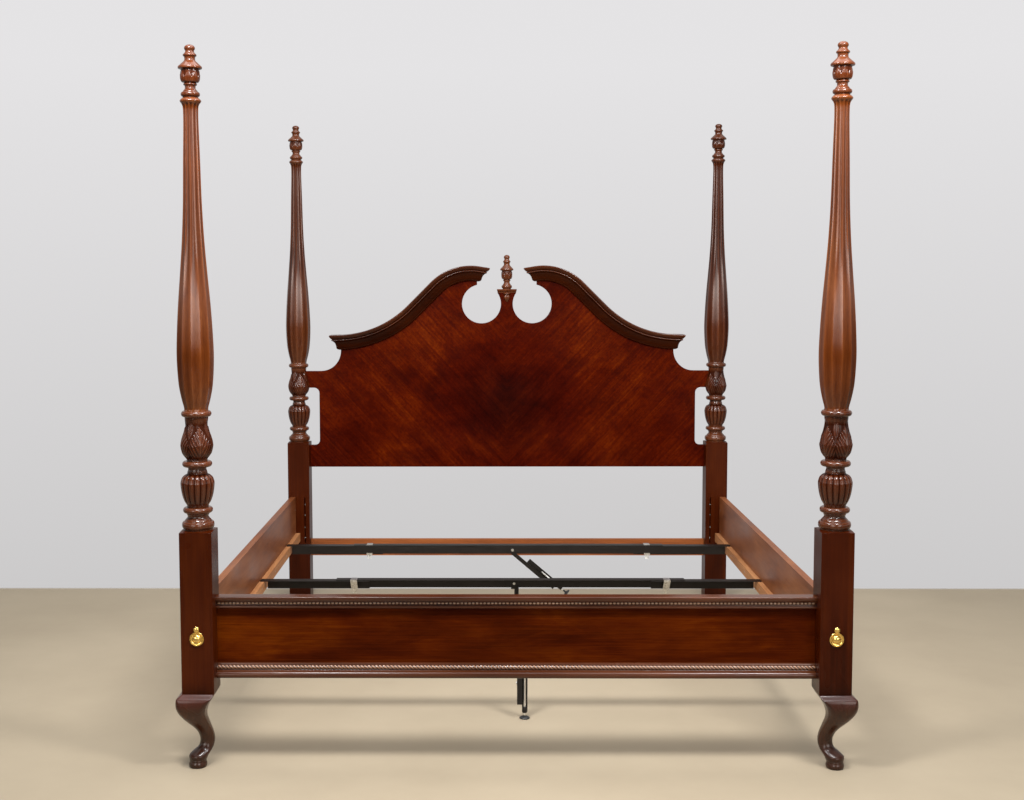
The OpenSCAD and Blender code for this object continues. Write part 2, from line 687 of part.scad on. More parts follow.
// Footboard
foot_half = inner_face_x - crown_gap;
foot_board_top = foot_top - cap_t;
cap_front = 8;
cap_depth = foot_panel_back + foot_panel_t + cap_front;
module footboard_panel() {
  color(mahogany) {
    span([-inner_face_x, foot_panel_y, foot_bottom],
      [inner_face_x, foot_panel_y + foot_panel_t, foot_board_top]);
    for (s = [-1, 1]) side(s) footboard_tenon(0, 0, 0);
  }
}
module footboard_cap() {
  color(dark_mahogany) translate([0, foot_y - cap_front, foot_board_top]) along_x(-foot_half, foot_half)
    polygon([[5, 0], [cap_depth, 0], [cap_depth, cap_t], [2.4, cap_t], [0.8, cap_t - 0.6], [0, cap_t - 2],
      [0, cap_t - 8], [0.8, cap_t - 10.5], [2.6, cap_t - 13]]);
}
module footboard_top_moulding() {
  d = foot_panel_back;
  color(dark_mahogany) translate([0, foot_y, foot_board_top]) along_x(-foot_half, foot_half)
    polygon(concat([[d, 0], [-2, 0], [-2, -1.5]],
      [for (i = [0 : 8]) let (a = 180 * i / 8) [3 - 3.2 * sin(a), -5 + 3.2 * cos(a)]],
      [[5, -9.5], [5, -15], [1, -15.5], [1, 2 - top_mould_h + 2], [4, 1.5 - top_mould_h], [8, 0.5 - top_mould_h],
        [d, -top_mould_h]]));
}
module footboard_base_moulding() {
  d = foot_panel_back;
  t = base_mould_h;
  color(dark_mahogany) translate([0, foot_y, foot_bottom]) along_x(-foot_half, foot_half)
    polygon(concat([[d, 0], [d, t], [8, t], [6.5, t - 1.5], [6.5, t - 7]],
      [for (i = [0 : 8]) let (a = 180 * i / 8) [6.5 - 5.5 * sin(a), t - 14 + 6 * cos(a)]],
      [[5, t - 22], [2, t - 24.5], [-3, t - 26]],
      [for (i = [1 : 9]) let (a = 180 * i / 10) [-3 - 7.5 * sin(a), (t - 26) / 2 + (t - 26) / 2 * cos(a)]],
      [[-3, 0]]));
}

// Side rails with a kerf in each end for the hook plates
module side_rail(s) {
  color(mahogany) side(s) difference() {
    span([rail_in, rail_y0, rail_bottom], [rail_in + rail_t, rail_y1, rail_top]);
    for (e = [0, 1]) {
      y0 = e == 0 ? rail_y0 - 1 : rail_y1 - plate_in - fit_gap;
      y1 = e == 0 ? rail_y0 + plate_in + fit_gap : rail_y1 + 1;
      span([rail_x - hook_t / 2 - fit_gap, y0, pin_low - plate_margin - fit_gap],
        [rail_x + hook_t / 2 + fit_gap, y1, pin_levels[3] + plate_margin + 2 + fit_gap]);
      for (z = plate_screw_z)
        translate([0, e == 0 ? rail_y0 + plate_screw_in : rail_y1 - plate_screw_in, z]) {
          rod_x(rail_in - 1, rail_in + rail_t - 3, screw_d + 2 * fit_gap);
          countersink(rail_in, fit_gap);
        }
    }
    for (y = ledger_screw_y()) translate([0, y, ledger_mid_z()])
      rod_x(rail_in - 1, rail_in + rail_t - 5, screw_d + 2 * fit_gap);
  }
}

// Cone of a countersunk head, its flat face at x and its point inwards
module countersink(x, gap) {
  translate([x, 0, 0]) rotate([0, 90, 0]) {
    translate([0, 0, -gap]) cylinder(d = screw_head_d + 2 * gap, h = gap + 0.5, $fn = 48);
    translate([0, 0, 0.4])
      cylinder(d1 = screw_head_d + 2 * gap, d2 = screw_d + 2 * gap, h = (screw_head_d - screw_d) / 2, $fn = 48);
  }
}
module screw(x0, x1) {
  rod_x(x0 + 0.2, x1, screw_d);
  countersink(x0, 0);
}

ledger_screws_each = 7;
ledger_screw_end = 110;
function ledger_mid_z() = ledger_top - ledger_h / 2;
function ledger_screw_y() =
  [for (i = [0 : ledger_screws_each - 1])
    rail_y0 + ledger_screw_end + i * (rail_y1 - rail_y0 - 2 * ledger_screw_end) / (ledger_screws_each - 1)];

module ledger(s) {
  color(raw_wood) side(s) difference() {
    span([rail_in - ledger_w, rail_y0 + 1, ledger_top - ledger_h], [rail_in, rail_y1 - 1, ledger_top]);
    for (y = ledger_screw_y()) translate([0, y, ledger_mid_z()]) {
      rod_x(rail_in - ledger_w - 1, rail_in + 1, screw_d + 2 * fit_gap);
      countersink(rail_in - ledger_w, fit_gap);
    }
  }
}
module ledger_screws() {
  color(steel) for (s = [-1, 1], y = ledger_screw_y())
    side(s) translate([0, y, ledger_mid_z()]) screw(rail_in - ledger_w, rail_in + rail_t - 6);
}

// A hook plate in Y and Z: the rail's end is at y = 0 and the hooks reach to +y
module hook_plate_outline() {
  difference() {
    union() {
      translate([-plate_in, pin_low - plate_margin])
        square([plate_in, pin_levels[3] - pin_low + 2 * plate_margin + 2]);
      for (z = pin_levels) translate([-1, z - 10]) square([hook_reach + 1, 24]);
    }
    for (z = pin_levels) {
      translate([pin_in, z]) circle(d = pin_d + fit_gap, $fn = 48);
      translate([pin_in - (pin_d + fit_gap) / 2, z - 11]) square([pin_d + fit_gap, 11]);
    }
    for (z = plate_screw_z) translate([-plate_screw_in, z]) circle(d = screw_d + 2 * fit_gap, $fn = 48);
  }
}
module hook_plates() {
  color(steel) for (s = [-1, 1]) side(s) {
    translate([0, rail_y1, 0]) along_x(rail_x - hook_t / 2, rail_x + hook_t / 2) hook_plate_outline();
    translate([0, rail_y0, 0]) along_x(rail_x - hook_t / 2, rail_x + hook_t / 2) mirror([1, 0]) hook_plate_outline();
  }
}
module plate_screws() {
  color(zinc) for (s = [-1, 1], y = [rail_y0 + plate_screw_in, rail_y1 - plate_screw_in], z = plate_screw_z)
    side(s) translate([0, y, z]) screw(rail_in, rail_in + rail_t - 4);
}
module hook_pins() {
  color(steel) for (s = [-1, 1], y = [rail_y0 - pin_in, rail_y1 + pin_in], z = pin_levels)
    side(s) translate([0, y, z]) rod_x(inner_face_x + 0.5, rail_x + kerf_w / 2 + 5, pin_d);
}

// Slats. A slat is drawn with the outer face of its upright flange at y = 0 and its top at z = 0.
// The middle slat is turned round, so its upright flange is behind and its leg folds to the left.
slat_turns = [0, 180, 0];
function in_slat(i, x) = slat_turns[i] == 0 ? x : -x;
module at_slat(i) {
  translate([0, foot_y + slat_ys[i], slat_top]) rotate([0, 0, slat_turns[i]]) children();
}
pivot_drop = slat_top - pivot_z;
module slat_centre(i) {
  px = in_slat(i, pivot_xs[i]);
  color(black_steel) at_slat(i) difference() {
    along_x(-centre_half, centre_half)
      polygon([[0, 0], [angle_w, 0], [angle_w, -angle_t], [angle_t, -angle_t], [angle_t, -angle_w], [0, -angle_w]]);
    translate([px, 0, -pivot_drop]) rod_y(-1, angle_t + 1, pivot_d + 2 * run_gap);
  }
}
module slat_end(i, s) {
  n = angle_t + slide_gap;
  color(black_steel) at_slat(i) side(in_slat(i, s)) {
    span([end_in, n, -n - angle_t], [end_out, n + angle_w, -n]);
    span([end_in, n, -n - angle_w], [flange_out, n + angle_t, -n]);
  }
}
// Spring clip round both angles: it lies on the top, goes round the free edge of the top flange,
// slants to the free edge of the upright one, hooks round that and ends in a tongue
clip_tongue_w = 17;
clip_tongue_h = 18;
clip_tongue_slant = 4;
clip_hook = 7;
module slat_clips() {
  far = angle_t + slide_gap + angle_w + slide_gap;
  inner = 2 * (angle_t + slide_gap) + angle_w + angle_t + slide_gap * sqrt(2);
  outer = inner + clip_t * sqrt(2);
  low = -far - clip_t;
  heel = outer + low;
  color(zinc) for (i = [0 : 2], s = [-1, 1]) at_slat(i) side(s) {
    along_x(clip_x - clip_w / 2, clip_x + clip_w / 2) polygon([
      [angle_t, 0], [angle_t, clip_t], [far + clip_t, clip_t], [far + clip_t, far + clip_t - outer], [heel, low],
      [-clip_t, low], [-clip_t, clip_hook - far], [0, clip_hook - far], [0, -far], [inner - far, -far],
      [far, far - inner], [far, 0]
    ]);
    along_x(clip_x - clip_tongue_w / 2, clip_x + clip_tongue_w / 2)
      polygon([[heel, low + clip_t / 2], [heel - clip_t, low + clip_t / 2],
        [heel - clip_t - clip_tongue_slant, low - clip_tongue_h], [heel - clip_tongue_slant, low - clip_tongue_h]]);
  }
}

// Slat legs. A leg is drawn hanging straight down from its pivot at the origin.
function leg_swing(i) = i == 2 ? rear_swing : 0;
module at_pivot(i) {
  translate([pivot_xs[i], foot_y + slat_ys[i], pivot_z]) rotate([0, 0, slat_turns[i]]) children();
}
module at_leg(i) {
  at_pivot(i) rotate([0, -leg_swing(i), 0]) children();
}
leg_front = angle_t + slide_gap;
leg_back = web_y + leg_t + 14;
leg_left = -leg_w / 2;
module leg_bolt_bores() {
  for (z = leg_bolt_z) translate([0, web_y + leg_t + 6, z - pivot_z])
    rod_x(leg_left - 1, leg_left + 2 * leg_t + 1, leg_bolt_d + 2 * run_gap);
}
module slat_leg(i) {
  color(black_steel) at_leg(i) difference() {
    union() {
      span([leg_left, leg_front, upper_bottom - pivot_z], [flange_right, leg_front + leg_t, 0]);
      span([leg_left, leg_front, -leg_head], [rod_x - stem_d / 2 + 8, leg_front + leg_t, 0]);
      intersection() {
        rod_y(leg_front, leg_front + leg_t, leg_w);
        span([leg_left, leg_front, -1], [rod_x - stem_d / 2 + 8, leg_front + leg_t, leg_up]);
      }
      span([leg_left, leg_front, upper_bottom - pivot_z], [leg_left + leg_t, leg_back, -12]);
    }
    rod_y(0, leg_front + leg_t + 1, pivot_d + 2 * run_gap);
    leg_bolt_bores();
  }
}
module leg_extension(i) {
  left = leg_left + leg_t;
  color(black_steel) at_leg(i) difference() {
    union() {
      span([left, web_y, upper_bottom + 2 - pivot_z], [-leg_left, web_y + leg_t, extension_top - pivot_z]);
      span([flange_right, web_y, extension_bottom - pivot_z], [-leg_left, web_y + leg_t, upper_bottom + 3 - pivot_z]);
      span([left, web_y, upper_bottom - pivot_z], [left + leg_t, leg_back, extension_top - pivot_z]);
      translate([rod_x, rod_y, 0])
        rod_z(extension_bottom - pivot_z, extension_bottom + ferrule_h - pivot_z, ferrule_d);
    }
    translate([rod_x, rod_y, 0])
      rod_z(extension_bottom - pivot_z - 1, extension_bottom + ferrule_h - pivot_z + 1, stem_d + 2 * run_gap);
    leg_bolt_bores();
  }
}
// Bolts through both side flanges, each with a nut
module leg_bolts(i) {
  color(zinc) at_leg(i) for (z = leg_bolt_z) translate([0, web_y + leg_t + 6, z - pivot_z]) {
    rod_x(leg_left - 3, leg_left + 2 * leg_t + 6, leg_bolt_d);
    rod_x(leg_left - 3.5, leg_left, 11);
    difference() {
      rod_x(leg_left + 2 * leg_t, leg_left + 2 * leg_t + 5, 11);
      rod_x(leg_left + 2 * leg_t - 1, leg_left + 2 * leg_t + 6, leg_bolt_d + 2 * run_gap);
    }
  }
}
module leg_glide(i) {
  out = i == 2 ? -rear_glide_out : 0;
  color(black_steel) at_leg(i) translate([rod_x, rod_y, out - pivot_z]) {
    turned([[glide_d / 2 - 2, 0], [glide_d / 2, 1.5], [glide_d / 2, 3.5], [glide_d / 2 - 5, 6.5], [8, glide_disc_h]]);
    rod_z(glide_disc_h - 1, stem_top, stem_d);
  }
}
module leg_pivots() {
  color(zinc) for (i = [0 : 2])
    at_pivot(i) {
      rod_y(-1, leg_front + leg_t + slide_gap + 1, pivot_d);
      rod_y(-2.5, 0, 12);
      rod_y(leg_front + leg_t + slide_gap, leg_front + leg_t + slide_gap + 1.8, 10);
    }
}

// Bolt covers, drawn with the pivot at the origin and the post's face at y = 0, the front at -y
cover_gap = 0.3;
cover_ear_t = 2.2;
cover_rim = 4;
cover_dome = 8;
module at_cover(s) {
  side(s) translate([post_x, foot_y - half_block, cover_pivot_z]) children();
}
module bolt_cover(s) {
  r = cover_d / 2;
  color(brass) at_cover(s) difference() {
    union() {
      translate([0, -cover_gap, -cover_drop]) rotate([90, 0, 0]) rotate_extrude($fn = turn_fn)
        polygon([[0, 0], [r, 0], [r, cover_rim - 1], [r - 1.2, cover_rim], [r - 3.4, cover_rim], [r - 4.6, cover_rim - 1.5],
          [r - 7, 1.8], [r - 9, 1.8], [r - 10, 3.4], [r - 12.5, 5.8], [r - 16, 7.3], [r - 19, cover_dome], [0, cover_dome]]);
      translate([0, -cover_gap, 0]) rod_y(-cover_ear_t, 0, 17);
      span([-4.5, -cover_gap - cover_ear_t, -cover_drop + r - 2], [4.5, -cover_gap, 0]);
    }
    rod_y(-20, 20, cover_pin_d + 2 * run_gap);
  }
}
module cover_pivots() {
  front = cover_gap + cover_ear_t + slide_gap;
  color(brass) for (s = [-1, 1]) at_cover(s) {
    rod_y(-front - 1, 25, cover_pin_d);
    translate([0, -front, 0]) rotate([90, 0, 0])
      turned([[7, 0], [8.8, 1.2], [9.4, 2.8], [8.6, 4.8], [6.4, 6.4], [3, 7.4]]);
  }
}

foot_leg(-1);  // foot_leg_left
foot_leg(1);  // foot_leg_right
foot_post(-1);  // foot_post_left
foot_post(1);  // foot_post_right
head_post(-1);  // head_post_left
head_post(1);  // head_post_right
shaft(-1, foot_y);  // foot_shaft_left
shaft(1, foot_y);  // foot_shaft_right
shaft(-1, head_y);  // head_shaft_left
shaft(1, head_y);  // head_shaft_right
finial(-1, foot_y);  // foot_finial_left
finial(1, foot_y);  // foot_finial_right
finial(-1, head_y);  // head_finial_left
finial(1, head_y);  // head_finial_right
shaft_bolts();
headboard_panel();
crown_moulding(-1);  // crown_moulding_left
crown_moulding(1);  // crown_moulding_right
plinth_cap();
plinth_drop();
centre_finial();
head_cross_rail();
footboard_panel();
footboard_cap();
footboard_top_moulding();
footboard_base_moulding();
side_rail(-1);  // side_rail_left
side_rail(1);  // side_rail_right
ledger(-1);  // ledger_left
ledger(1);  // ledger_right
ledger_screws();
hook_plates();
plate_screws();
hook_pins();
slat_centre(0);  // slat_centre_front
slat_centre(1);  // slat_centre_middle
slat_centre(2);  // slat_centre_rear
slat_end(0, -1);  // slat_end_front_left
slat_end(0, 1);  // slat_end_front_right
slat_end(1, -1);  // slat_end_middle_left
slat_end(1, 1);  // slat_end_middle_right
slat_end(2, -1);  // slat_end_rear_left
slat_end(2, 1);  // slat_end_rear_right
slat_clips();
leg_pivots();
slat_leg(0);  // slat_leg_front
slat_leg(1);  // slat_leg_middle
slat_leg(2);  // slat_leg_rear
leg_extension(0);  // leg_extension_front
leg_extension(1);  // leg_extension_middle
leg_extension(2);  // leg_extension_rear
leg_bolts(0);  // leg_bolts_front
leg_bolts(1);  // leg_bolts_middle
leg_bolts(2);  // leg_bolts_rear
leg_glide(0);  // leg_glide_front
leg_glide(1);  // leg_glide_middle
leg_glide(2);  // leg_glide_rear
bolt_cover(-1);  // bolt_cover_left
bolt_cover(1);  // bolt_cover_right
cover_pivots();
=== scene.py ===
import math

import bmesh
import bpy
import numpy as np
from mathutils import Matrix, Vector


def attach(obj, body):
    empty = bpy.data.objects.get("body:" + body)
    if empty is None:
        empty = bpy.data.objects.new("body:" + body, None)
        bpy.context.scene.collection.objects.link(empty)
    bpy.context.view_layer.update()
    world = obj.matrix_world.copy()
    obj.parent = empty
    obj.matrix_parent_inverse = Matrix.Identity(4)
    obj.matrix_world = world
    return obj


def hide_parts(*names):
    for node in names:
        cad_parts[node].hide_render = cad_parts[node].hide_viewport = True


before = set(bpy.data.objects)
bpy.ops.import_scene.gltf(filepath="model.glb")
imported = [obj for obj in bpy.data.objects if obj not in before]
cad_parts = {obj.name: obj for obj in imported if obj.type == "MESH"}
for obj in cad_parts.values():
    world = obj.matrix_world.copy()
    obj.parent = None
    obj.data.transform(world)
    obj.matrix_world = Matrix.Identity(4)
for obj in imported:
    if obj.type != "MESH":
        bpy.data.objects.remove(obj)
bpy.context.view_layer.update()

# Carved front legs.
# Each is sawn and carved from one mahogany block and bends outwards and forwards alike, down to a
# turned pad for a foot. A round tenon on top is glued into the foot post.
post_x = 980
foot_y = -1081
head_y = 1101
half_block = 50
leg_h = 241
knee = 70
pad_off = 11.5
# Each row holds a height, the inner edge, the outer edge and the radius of the corners, as shares
# of the leg's height, half a block, the knee and half a block.
leg_shape = [
    (0.087, -0.26, 0.514, 0.49), (0.108, -0.33, 0.543, 0.54), (0.141, -0.40, 0.564, 0.59),
    (0.166, -0.46, 0.536, 0.58), (0.199, -0.56, 0.40, 0.52), (0.241, -0.66, 0.214, 0.44),
    (0.290, -0.716, 0.137, 0.42), (0.349, -0.734, 0.120, 0.41), (0.407, -0.706, 0.161, 0.41),
    (0.465, -0.646, 0.244, 0.44), (0.531, -0.56, 0.40, 0.48), (0.598, -0.48, 0.593, 0.54),
    (0.664, -0.404, 0.766, 0.58), (0.730, -0.38, 0.90, 0.56), (0.788, -0.43, 0.971, 0.50),
    (0.842, -0.52, 1.0, 0.42), (0.905, -0.70, 0.985, 0.30), (0.930, -0.80, 0.962, 0.22),
    (0.944, -0.86, 0.945, 0.16), (0.950, -0.875, 0.925, 0.14), (0.958, -0.895, 0.89, 0.12),
    (0.985, -0.965, 0.76, 0.08)]
leg_rows = [(z * leg_h, low * half_block, high * knee, r * half_block) for z, low, high, r in leg_shape]
leg_rows.append((leg_h, -half_block, half_block, 3))
pad_outline = [(0, 0), (23, 0), (25, 0.5), (26, 1.5), (27.4, 4), (28, 7), (28, 11), (27.6, 13.5), (26.8, 16),
               (26.0, 18.2), (25.9, 20.4), (26.2, 22), (25.6, 24.2), (24.2, 26), (21, 27.4), (0, 28)]


def curve(points, n=8):
    """A smooth line through given points, with n steps between two of them."""
    p = np.array(points, float)
    out = []
    for i in range(len(p) - 1):
        a, b, c, d = p[max(i - 1, 0)], p[i], p[i + 1], p[min(i + 2, len(p) - 1)]
        for t in np.arange(n) / n:
            out.append(0.5 * (2 * b + (c - a) * t + (2 * a - 5 * b + 4 * c - d) * t ** 2
                              + (3 * b - a - 3 * c + d) * t ** 3))
    return np.array(out + [p[-1]])


def material(name, roughness, metallic=0.0, coat=0.0, coat_roughness=0.1, specular=0.5):
    """A new material with its plain numbers set on the shader itself."""
    made = bpy.data.materials.new(name)
    made.use_nodes = True
    shader = made.node_tree.nodes["Principled BSDF"]
    shader.inputs["Roughness"].default_value = roughness
    shader.inputs["Metallic"].default_value = metallic
    shader.inputs["Coat Weight"].default_value = coat
    shader.inputs["Coat Roughness"].default_value = coat_roughness
    shader.inputs["Specular IOR Level"].default_value = specular
    return made, made.node_tree.nodes, made.node_tree.links, shader


def spot(nodes):
    """Where a point lies in its own piece, in metres."""
    return nodes.new("ShaderNodeTexCoord").outputs["Object"]


def parts(nodes, links, vector):
    """The three numbers of a place or a direction."""
    split = nodes.new("ShaderNodeSeparateXYZ")
    links.new(vector, split.inputs[0])
    return split.outputs


def between(nodes, links, value, low, high):
    """How far a value has come from a low number to a high one, as 0 to 1."""
    made = nodes.new("ShaderNodeMapRange")
    made.inputs["From Min"].default_value = low
    made.inputs["From Max"].default_value = high
    links.new(value, made.inputs["Value"])
    return made.outputs[0]


def noise(nodes, links, vector, scale, detail=4.0, roughness=0.55, distortion=0.0):
    """Noise with a scale of its own along each axis."""
    stretch = nodes.new("ShaderNodeMapping")
    stretch.inputs["Scale"].default_value = scale
    links.new(vector, stretch.inputs["Vector"])
    made = nodes.new("ShaderNodeTexNoise")
    made.inputs["Scale"].default_value = 1.0
    made.inputs["Detail"].default_value = detail
    made.inputs["Roughness"].default_value = roughness
    made.inputs["Distortion"].default_value = distortion
    links.new(stretch.outputs["Vector"], made.inputs["Vector"])
    return made.outputs["Fac"]


def ramp(nodes, links, value, stops):
    """Colours or greys set along a value."""
    made = nodes.new("ShaderNodeValToRGB")
    band = made.color_ramp
    while len(band.elements) < len(stops):
        band.elements.new(0.5)
    for element, (place, shade) in zip(band.elements, stops):
        element.position = place
        element.color = (*shade, 1) if isinstance(shade, tuple) else (shade, shade, shade, 1)
    links.new(value, made.inputs["Fac"])
    return made.outputs["Color"]


def mix(nodes, links, a, b, fac, kind="MIX"):
    """Mixes two colours, by a number or by a texture."""
    made = nodes.new("ShaderNodeMix")
    made.data_type = "RGBA"
    made.blend_type = kind
    for socket, value in ((0, fac), (6, a), (7, b)):
        if isinstance(value, (int, float)):
            made.inputs[socket].default_value = value
        elif isinstance(value, tuple):
            made.inputs[socket].default_value = (*value, 1)
        else:
            links.new(value, made.inputs[socket])
    return made.outputs[2]


def tree(made):
    """The shader nodes of a material or a world, and the links between them."""
    return made.node_tree.nodes, made.node_tree.links


def tint(made, shade):
    """Multiplies the colour that a material already has by another one."""
    nodes, links = tree(made)
    colour = nodes["Principled BSDF"].inputs["Base Color"]
    links.new(mix(nodes, links, colour.links[0].from_socket, shade, 1.0, "MULTIPLY"), colour)


def bump(nodes, links, shader, height, strength, distance):
    """Fine relief that is too small for the mesh."""
    made = nodes.new("ShaderNodeBump")
    made.inputs["Strength"].default_value = strength
    made.inputs["Distance"].default_value = distance
    links.new(height, made.inputs["Height"])
    links.new(made.outputs["Normal"], shader.inputs["Normal"])


def wood(name, along, dark, middle, light, roughness=0.36, coat=0.3, figure=7.0, streak=0.5, hollow=0.0,
         tilt=None, pore=0.55, specular=0.35, coat_roughness=0.13):
    """Lacquered or bare wood: long fibres, a slow figure across them and dark pores.

    A tilt leans the grain alike on both sides of the middle. Hollow is how strongly painted
    shade darkens the carved hollows, in colour and gloss.
    """
    made, nodes, links, shader = material(name, roughness, 0.0, coat, coat_roughness, specular)
    place = spot(nodes)
    if tilt:
        x, y, z = parts(nodes, links, place)
        fold = nodes.new("ShaderNodeMath")
        fold.operation = "ABSOLUTE"
        links.new(x, fold.inputs[0])
        join = nodes.new("ShaderNodeCombineXYZ")
        for part, socket in zip((fold.outputs[0], y, z), join.inputs):
            links.new(part, socket)
        turn = nodes.new("ShaderNodeMapping")
        turn.inputs["Rotation"].default_value = (0, math.radians(tilt), 0)
        links.new(join.outputs[0], turn.inputs["Vector"])
        place = turn.outputs["Vector"]

    def spread(across, lengthways):
        return tuple(lengthways if axis == along else across for axis in "xyz")

    fibres = noise(nodes, links, place, spread(150, 3.5), 7, 0.68, 0.4)
    bands = noise(nodes, links, place, spread(figure, figure * 0.16), 4, 0.55, 1.2)
    clouds = noise(nodes, links, place, spread(5, 3), 3, 0.5)
    pores = noise(nodes, links, place, spread(1100, 26), 2, 0.5)
    pores = ramp(nodes, links, pores, [(0.60, 0.0), (0.70, 1.0)])
    grain = mix(nodes, links, fibres, bands, 1 - streak)
    grain = mix(nodes, links, grain, clouds, 0.28)
    tone = ramp(nodes, links, grain, [(0.36, dark), (0.5, middle), (0.64, light)])
    tone = mix(nodes, links, tone, mix(nodes, links, tone, (0.35, 0.25, 0.2), 1.0, "MULTIPLY"),
               mix(nodes, links, (0, 0, 0), pores, pore))
    if hollow:
        # Painted shade: the deeper a point is carved, the darker its colour and the weaker its gloss and
        # coat.
        depth = nodes.new("ShaderNodeAttribute")
        depth.attribute_name = "hollow"
        shade = ramp(nodes, links, depth.outputs["Fac"],
                     [(0.0, (1.0, 1.0, 1.0)), (0.35, (0.72, 0.62, 0.58)), (0.9, (0.24, 0.16, 0.13))])
        tone = mix(nodes, links, tone, shade, hollow, "MULTIPLY")
        for gloss, socket in ((specular, "Specular IOR Level"), (coat, "Coat Weight")):
            dull = gloss * (1 - 0.85 * hollow)
            links.new(ramp(nodes, links, depth.outputs["Fac"], [(0.1, gloss), (0.8, dull)]),
                      shader.inputs[socket])
    links.new(tone, shader.inputs["Base Color"])
    sheen = ramp(nodes, links, clouds, [(0.3, max(roughness - 0.08, 0.05)), (0.7, roughness + 0.08)])
    links.new(sheen, shader.inputs["Roughness"])
    bump(nodes, links, shader, mix(nodes, links, fibres, pores, 0.4), 0.18, 0.0003)
    return made


def skin(name, rings):
    """A mesh over equal rings of points in millimetres, closed with flat ends."""
    count = len(rings[0])
    faces = [tuple(range(count))[::-1]]
    for i in range(len(rings) - 1):
        a, b = i * count, (i + 1) * count
        faces += [(a + k, a + (k + 1) % count, b + (k + 1) % count, b + k) for k in range(count)]
    faces.append(tuple((len(rings) - 1) * count + k for k in range(count)))
    mesh = bpy.data.meshes.new(name)
    mesh.from_pydata((np.asarray(rings, float).reshape(-1, 3) * 0.001).tolist(), [], faces)
    return mesh


def piece(name, rings, finish, stands_for=(), body="frame", sharp=38, hollow=None):
    """A piece over rings of points, riding on a body; hollow gives each point its share of painted shade,
    mostly from how deep it is carved.
    """
    mesh = skin(name, rings)
    if hollow is not None:
        depths = np.ravel(hollow).astype(np.float32)
        mesh.attributes.new("hollow", "FLOAT", "POINT").data.foreach_set("value", depths)
    turned_out = bmesh.new()
    turned_out.from_mesh(mesh)
    bmesh.ops.recalc_face_normals(turned_out, faces=turned_out.faces)
    turned_out.to_mesh(mesh)
    turned_out.free()
    mesh.polygons.foreach_set("use_smooth", [True] * len(mesh.polygons))
    mesh.set_sharp_from_angle(angle=math.radians(sharp))
    mesh.materials.append(finish)
    made = bpy.data.objects.new(name, mesh)
    bpy.context.scene.collection.objects.link(made)
    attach(made, body)
    if stands_for:
        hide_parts(*stands_for)
    return made


def rounded_square(low, high, radius, steps=9):
    """The outline of a square from low to high on both axes, with round corners."""
    radius = min(radius, (high - low) / 2 - 0.1)
    out = []
    for corner in range(4):
        cx = high - radius if corner in (0, 3) else low + radius
        cy = high - radius if corner in (0, 1) else low + radius
        for k in range(steps + 1):
            a = math.radians(90 * corner + 90 * k / steps)
            out.append((cx + radius * math.cos(a), cy + radius * math.sin(a)))
    return out


leg_mahogany = wood("carved_leg_mahogany", "z", (0.030, 0.0080, 0.0030), (0.054, 0.0150, 0.0058),
                    (0.086, 0.0250, 0.0085), roughness=0.28, coat=0.06, specular=0.32)
nodes, links = tree(leg_mahogany)
height = between(nodes, links, parts(nodes, links, spot(nodes))[2], 0.0, leg_h * 0.001)
# Painted shade: the leg is tinted darker and redder just under the knee's shelf edge and darker round the
# ankle, where shade falls; between them it is tinted paler.
tint(leg_mahogany, ramp(nodes, links, height, [
    (0.0, (0.8, 0.8, 0.8)), (0.25, (0.7, 0.7, 0.8)), (0.5, (1.1, 1.3, 1.2)),
    (0.78, (1.0, 1.1, 1.0)), (0.86, (0.8, 0.42, 0.35)), (1.0, (0.9, 0.5, 0.45))]))
dark_mahogany = wood("dark_mahogany_upright", "z", (0.025, 0.0032, 0.0002), (0.046, 0.0062, 0.0004),
                     (0.076, 0.0128, 0.0010), roughness=0.33, coat=0.0, specular=0.10)
for side, s in (("left", -1), ("right", 1)):
    rings = [[(s * (post_x + x), foot_y - y, z) for x, y in rounded_square(low, high, radius)]
             for z, low, high, radius in curve(leg_rows, 5)]
    piece("carved_leg_" + side, rings, leg_mahogany, ["foot_leg_" + side], sharp=50)
    pad = []
    for r, z in curve(pad_outline, 3)[1:]:
        pad.append([(s * (post_x + pad_off) + r * math.cos(a), foot_y - pad_off + r * math.sin(a), z)
                    for a in np.radians(np.arange(0, 360, 7.5))])
    piece("pad_foot_" + side, pad, leg_mahogany, ["foot_leg_" + side], sharp=60)

# Posts: square blocks.
# The lower part of each mahogany post is left square, with a turned shoulder on top. Two kerfs are
# sawn in the face towards the rail for its hooks, and four bores for their pins are drilled across
# the kerfs. The head posts reach the floor.
block_top = 748
shoulder_fall = 4
block_edge = 2.2
kerf_off = 28
kerf_w = 4.6
kerf_depth = 30
pin_in = 12
pin_levels = (294, 344, 402, 452)
kerf_low, kerf_high = 270, 488
bore_r = 3.05
bore_past_kerf = 6
cut_past_face = 3
uncut = 80
end_chamfer, end_shrink = 1.2, 0.988
# Height and radius of the turned shoulder.
shoulder = [(742.6, 75.7), (743.8, 70), (744.8, 62), (745.6, 55), (746.3, 50), (747.2, 47), (block_top, 44)]
corner_steps = np.concatenate([np.linspace(0, 40, 9), np.linspace(42, 48, 9), np.linspace(50, 80, 7)])
block_angles = np.radians(np.concatenate([corner_steps + 90 * k for k in range(4)]))


def block_ring(z, reach):
    """Rounded square, held inside the circle that the turner left at this height."""
    inner = half_block - block_edge
    out = []
    for a in block_angles:
        c, d = abs(math.cos(a)), abs(math.sin(a))
        r = half_block / max(c, d)
        if min(c, d) * r > inner:
            r = inner * (c + d) + math.sqrt(max(inner ** 2 * ((c + d) ** 2 - 2) + block_edge ** 2, 0))
        r = min(r, reach)
        out.append((r * math.cos(a), r * math.sin(a), z))
    return out


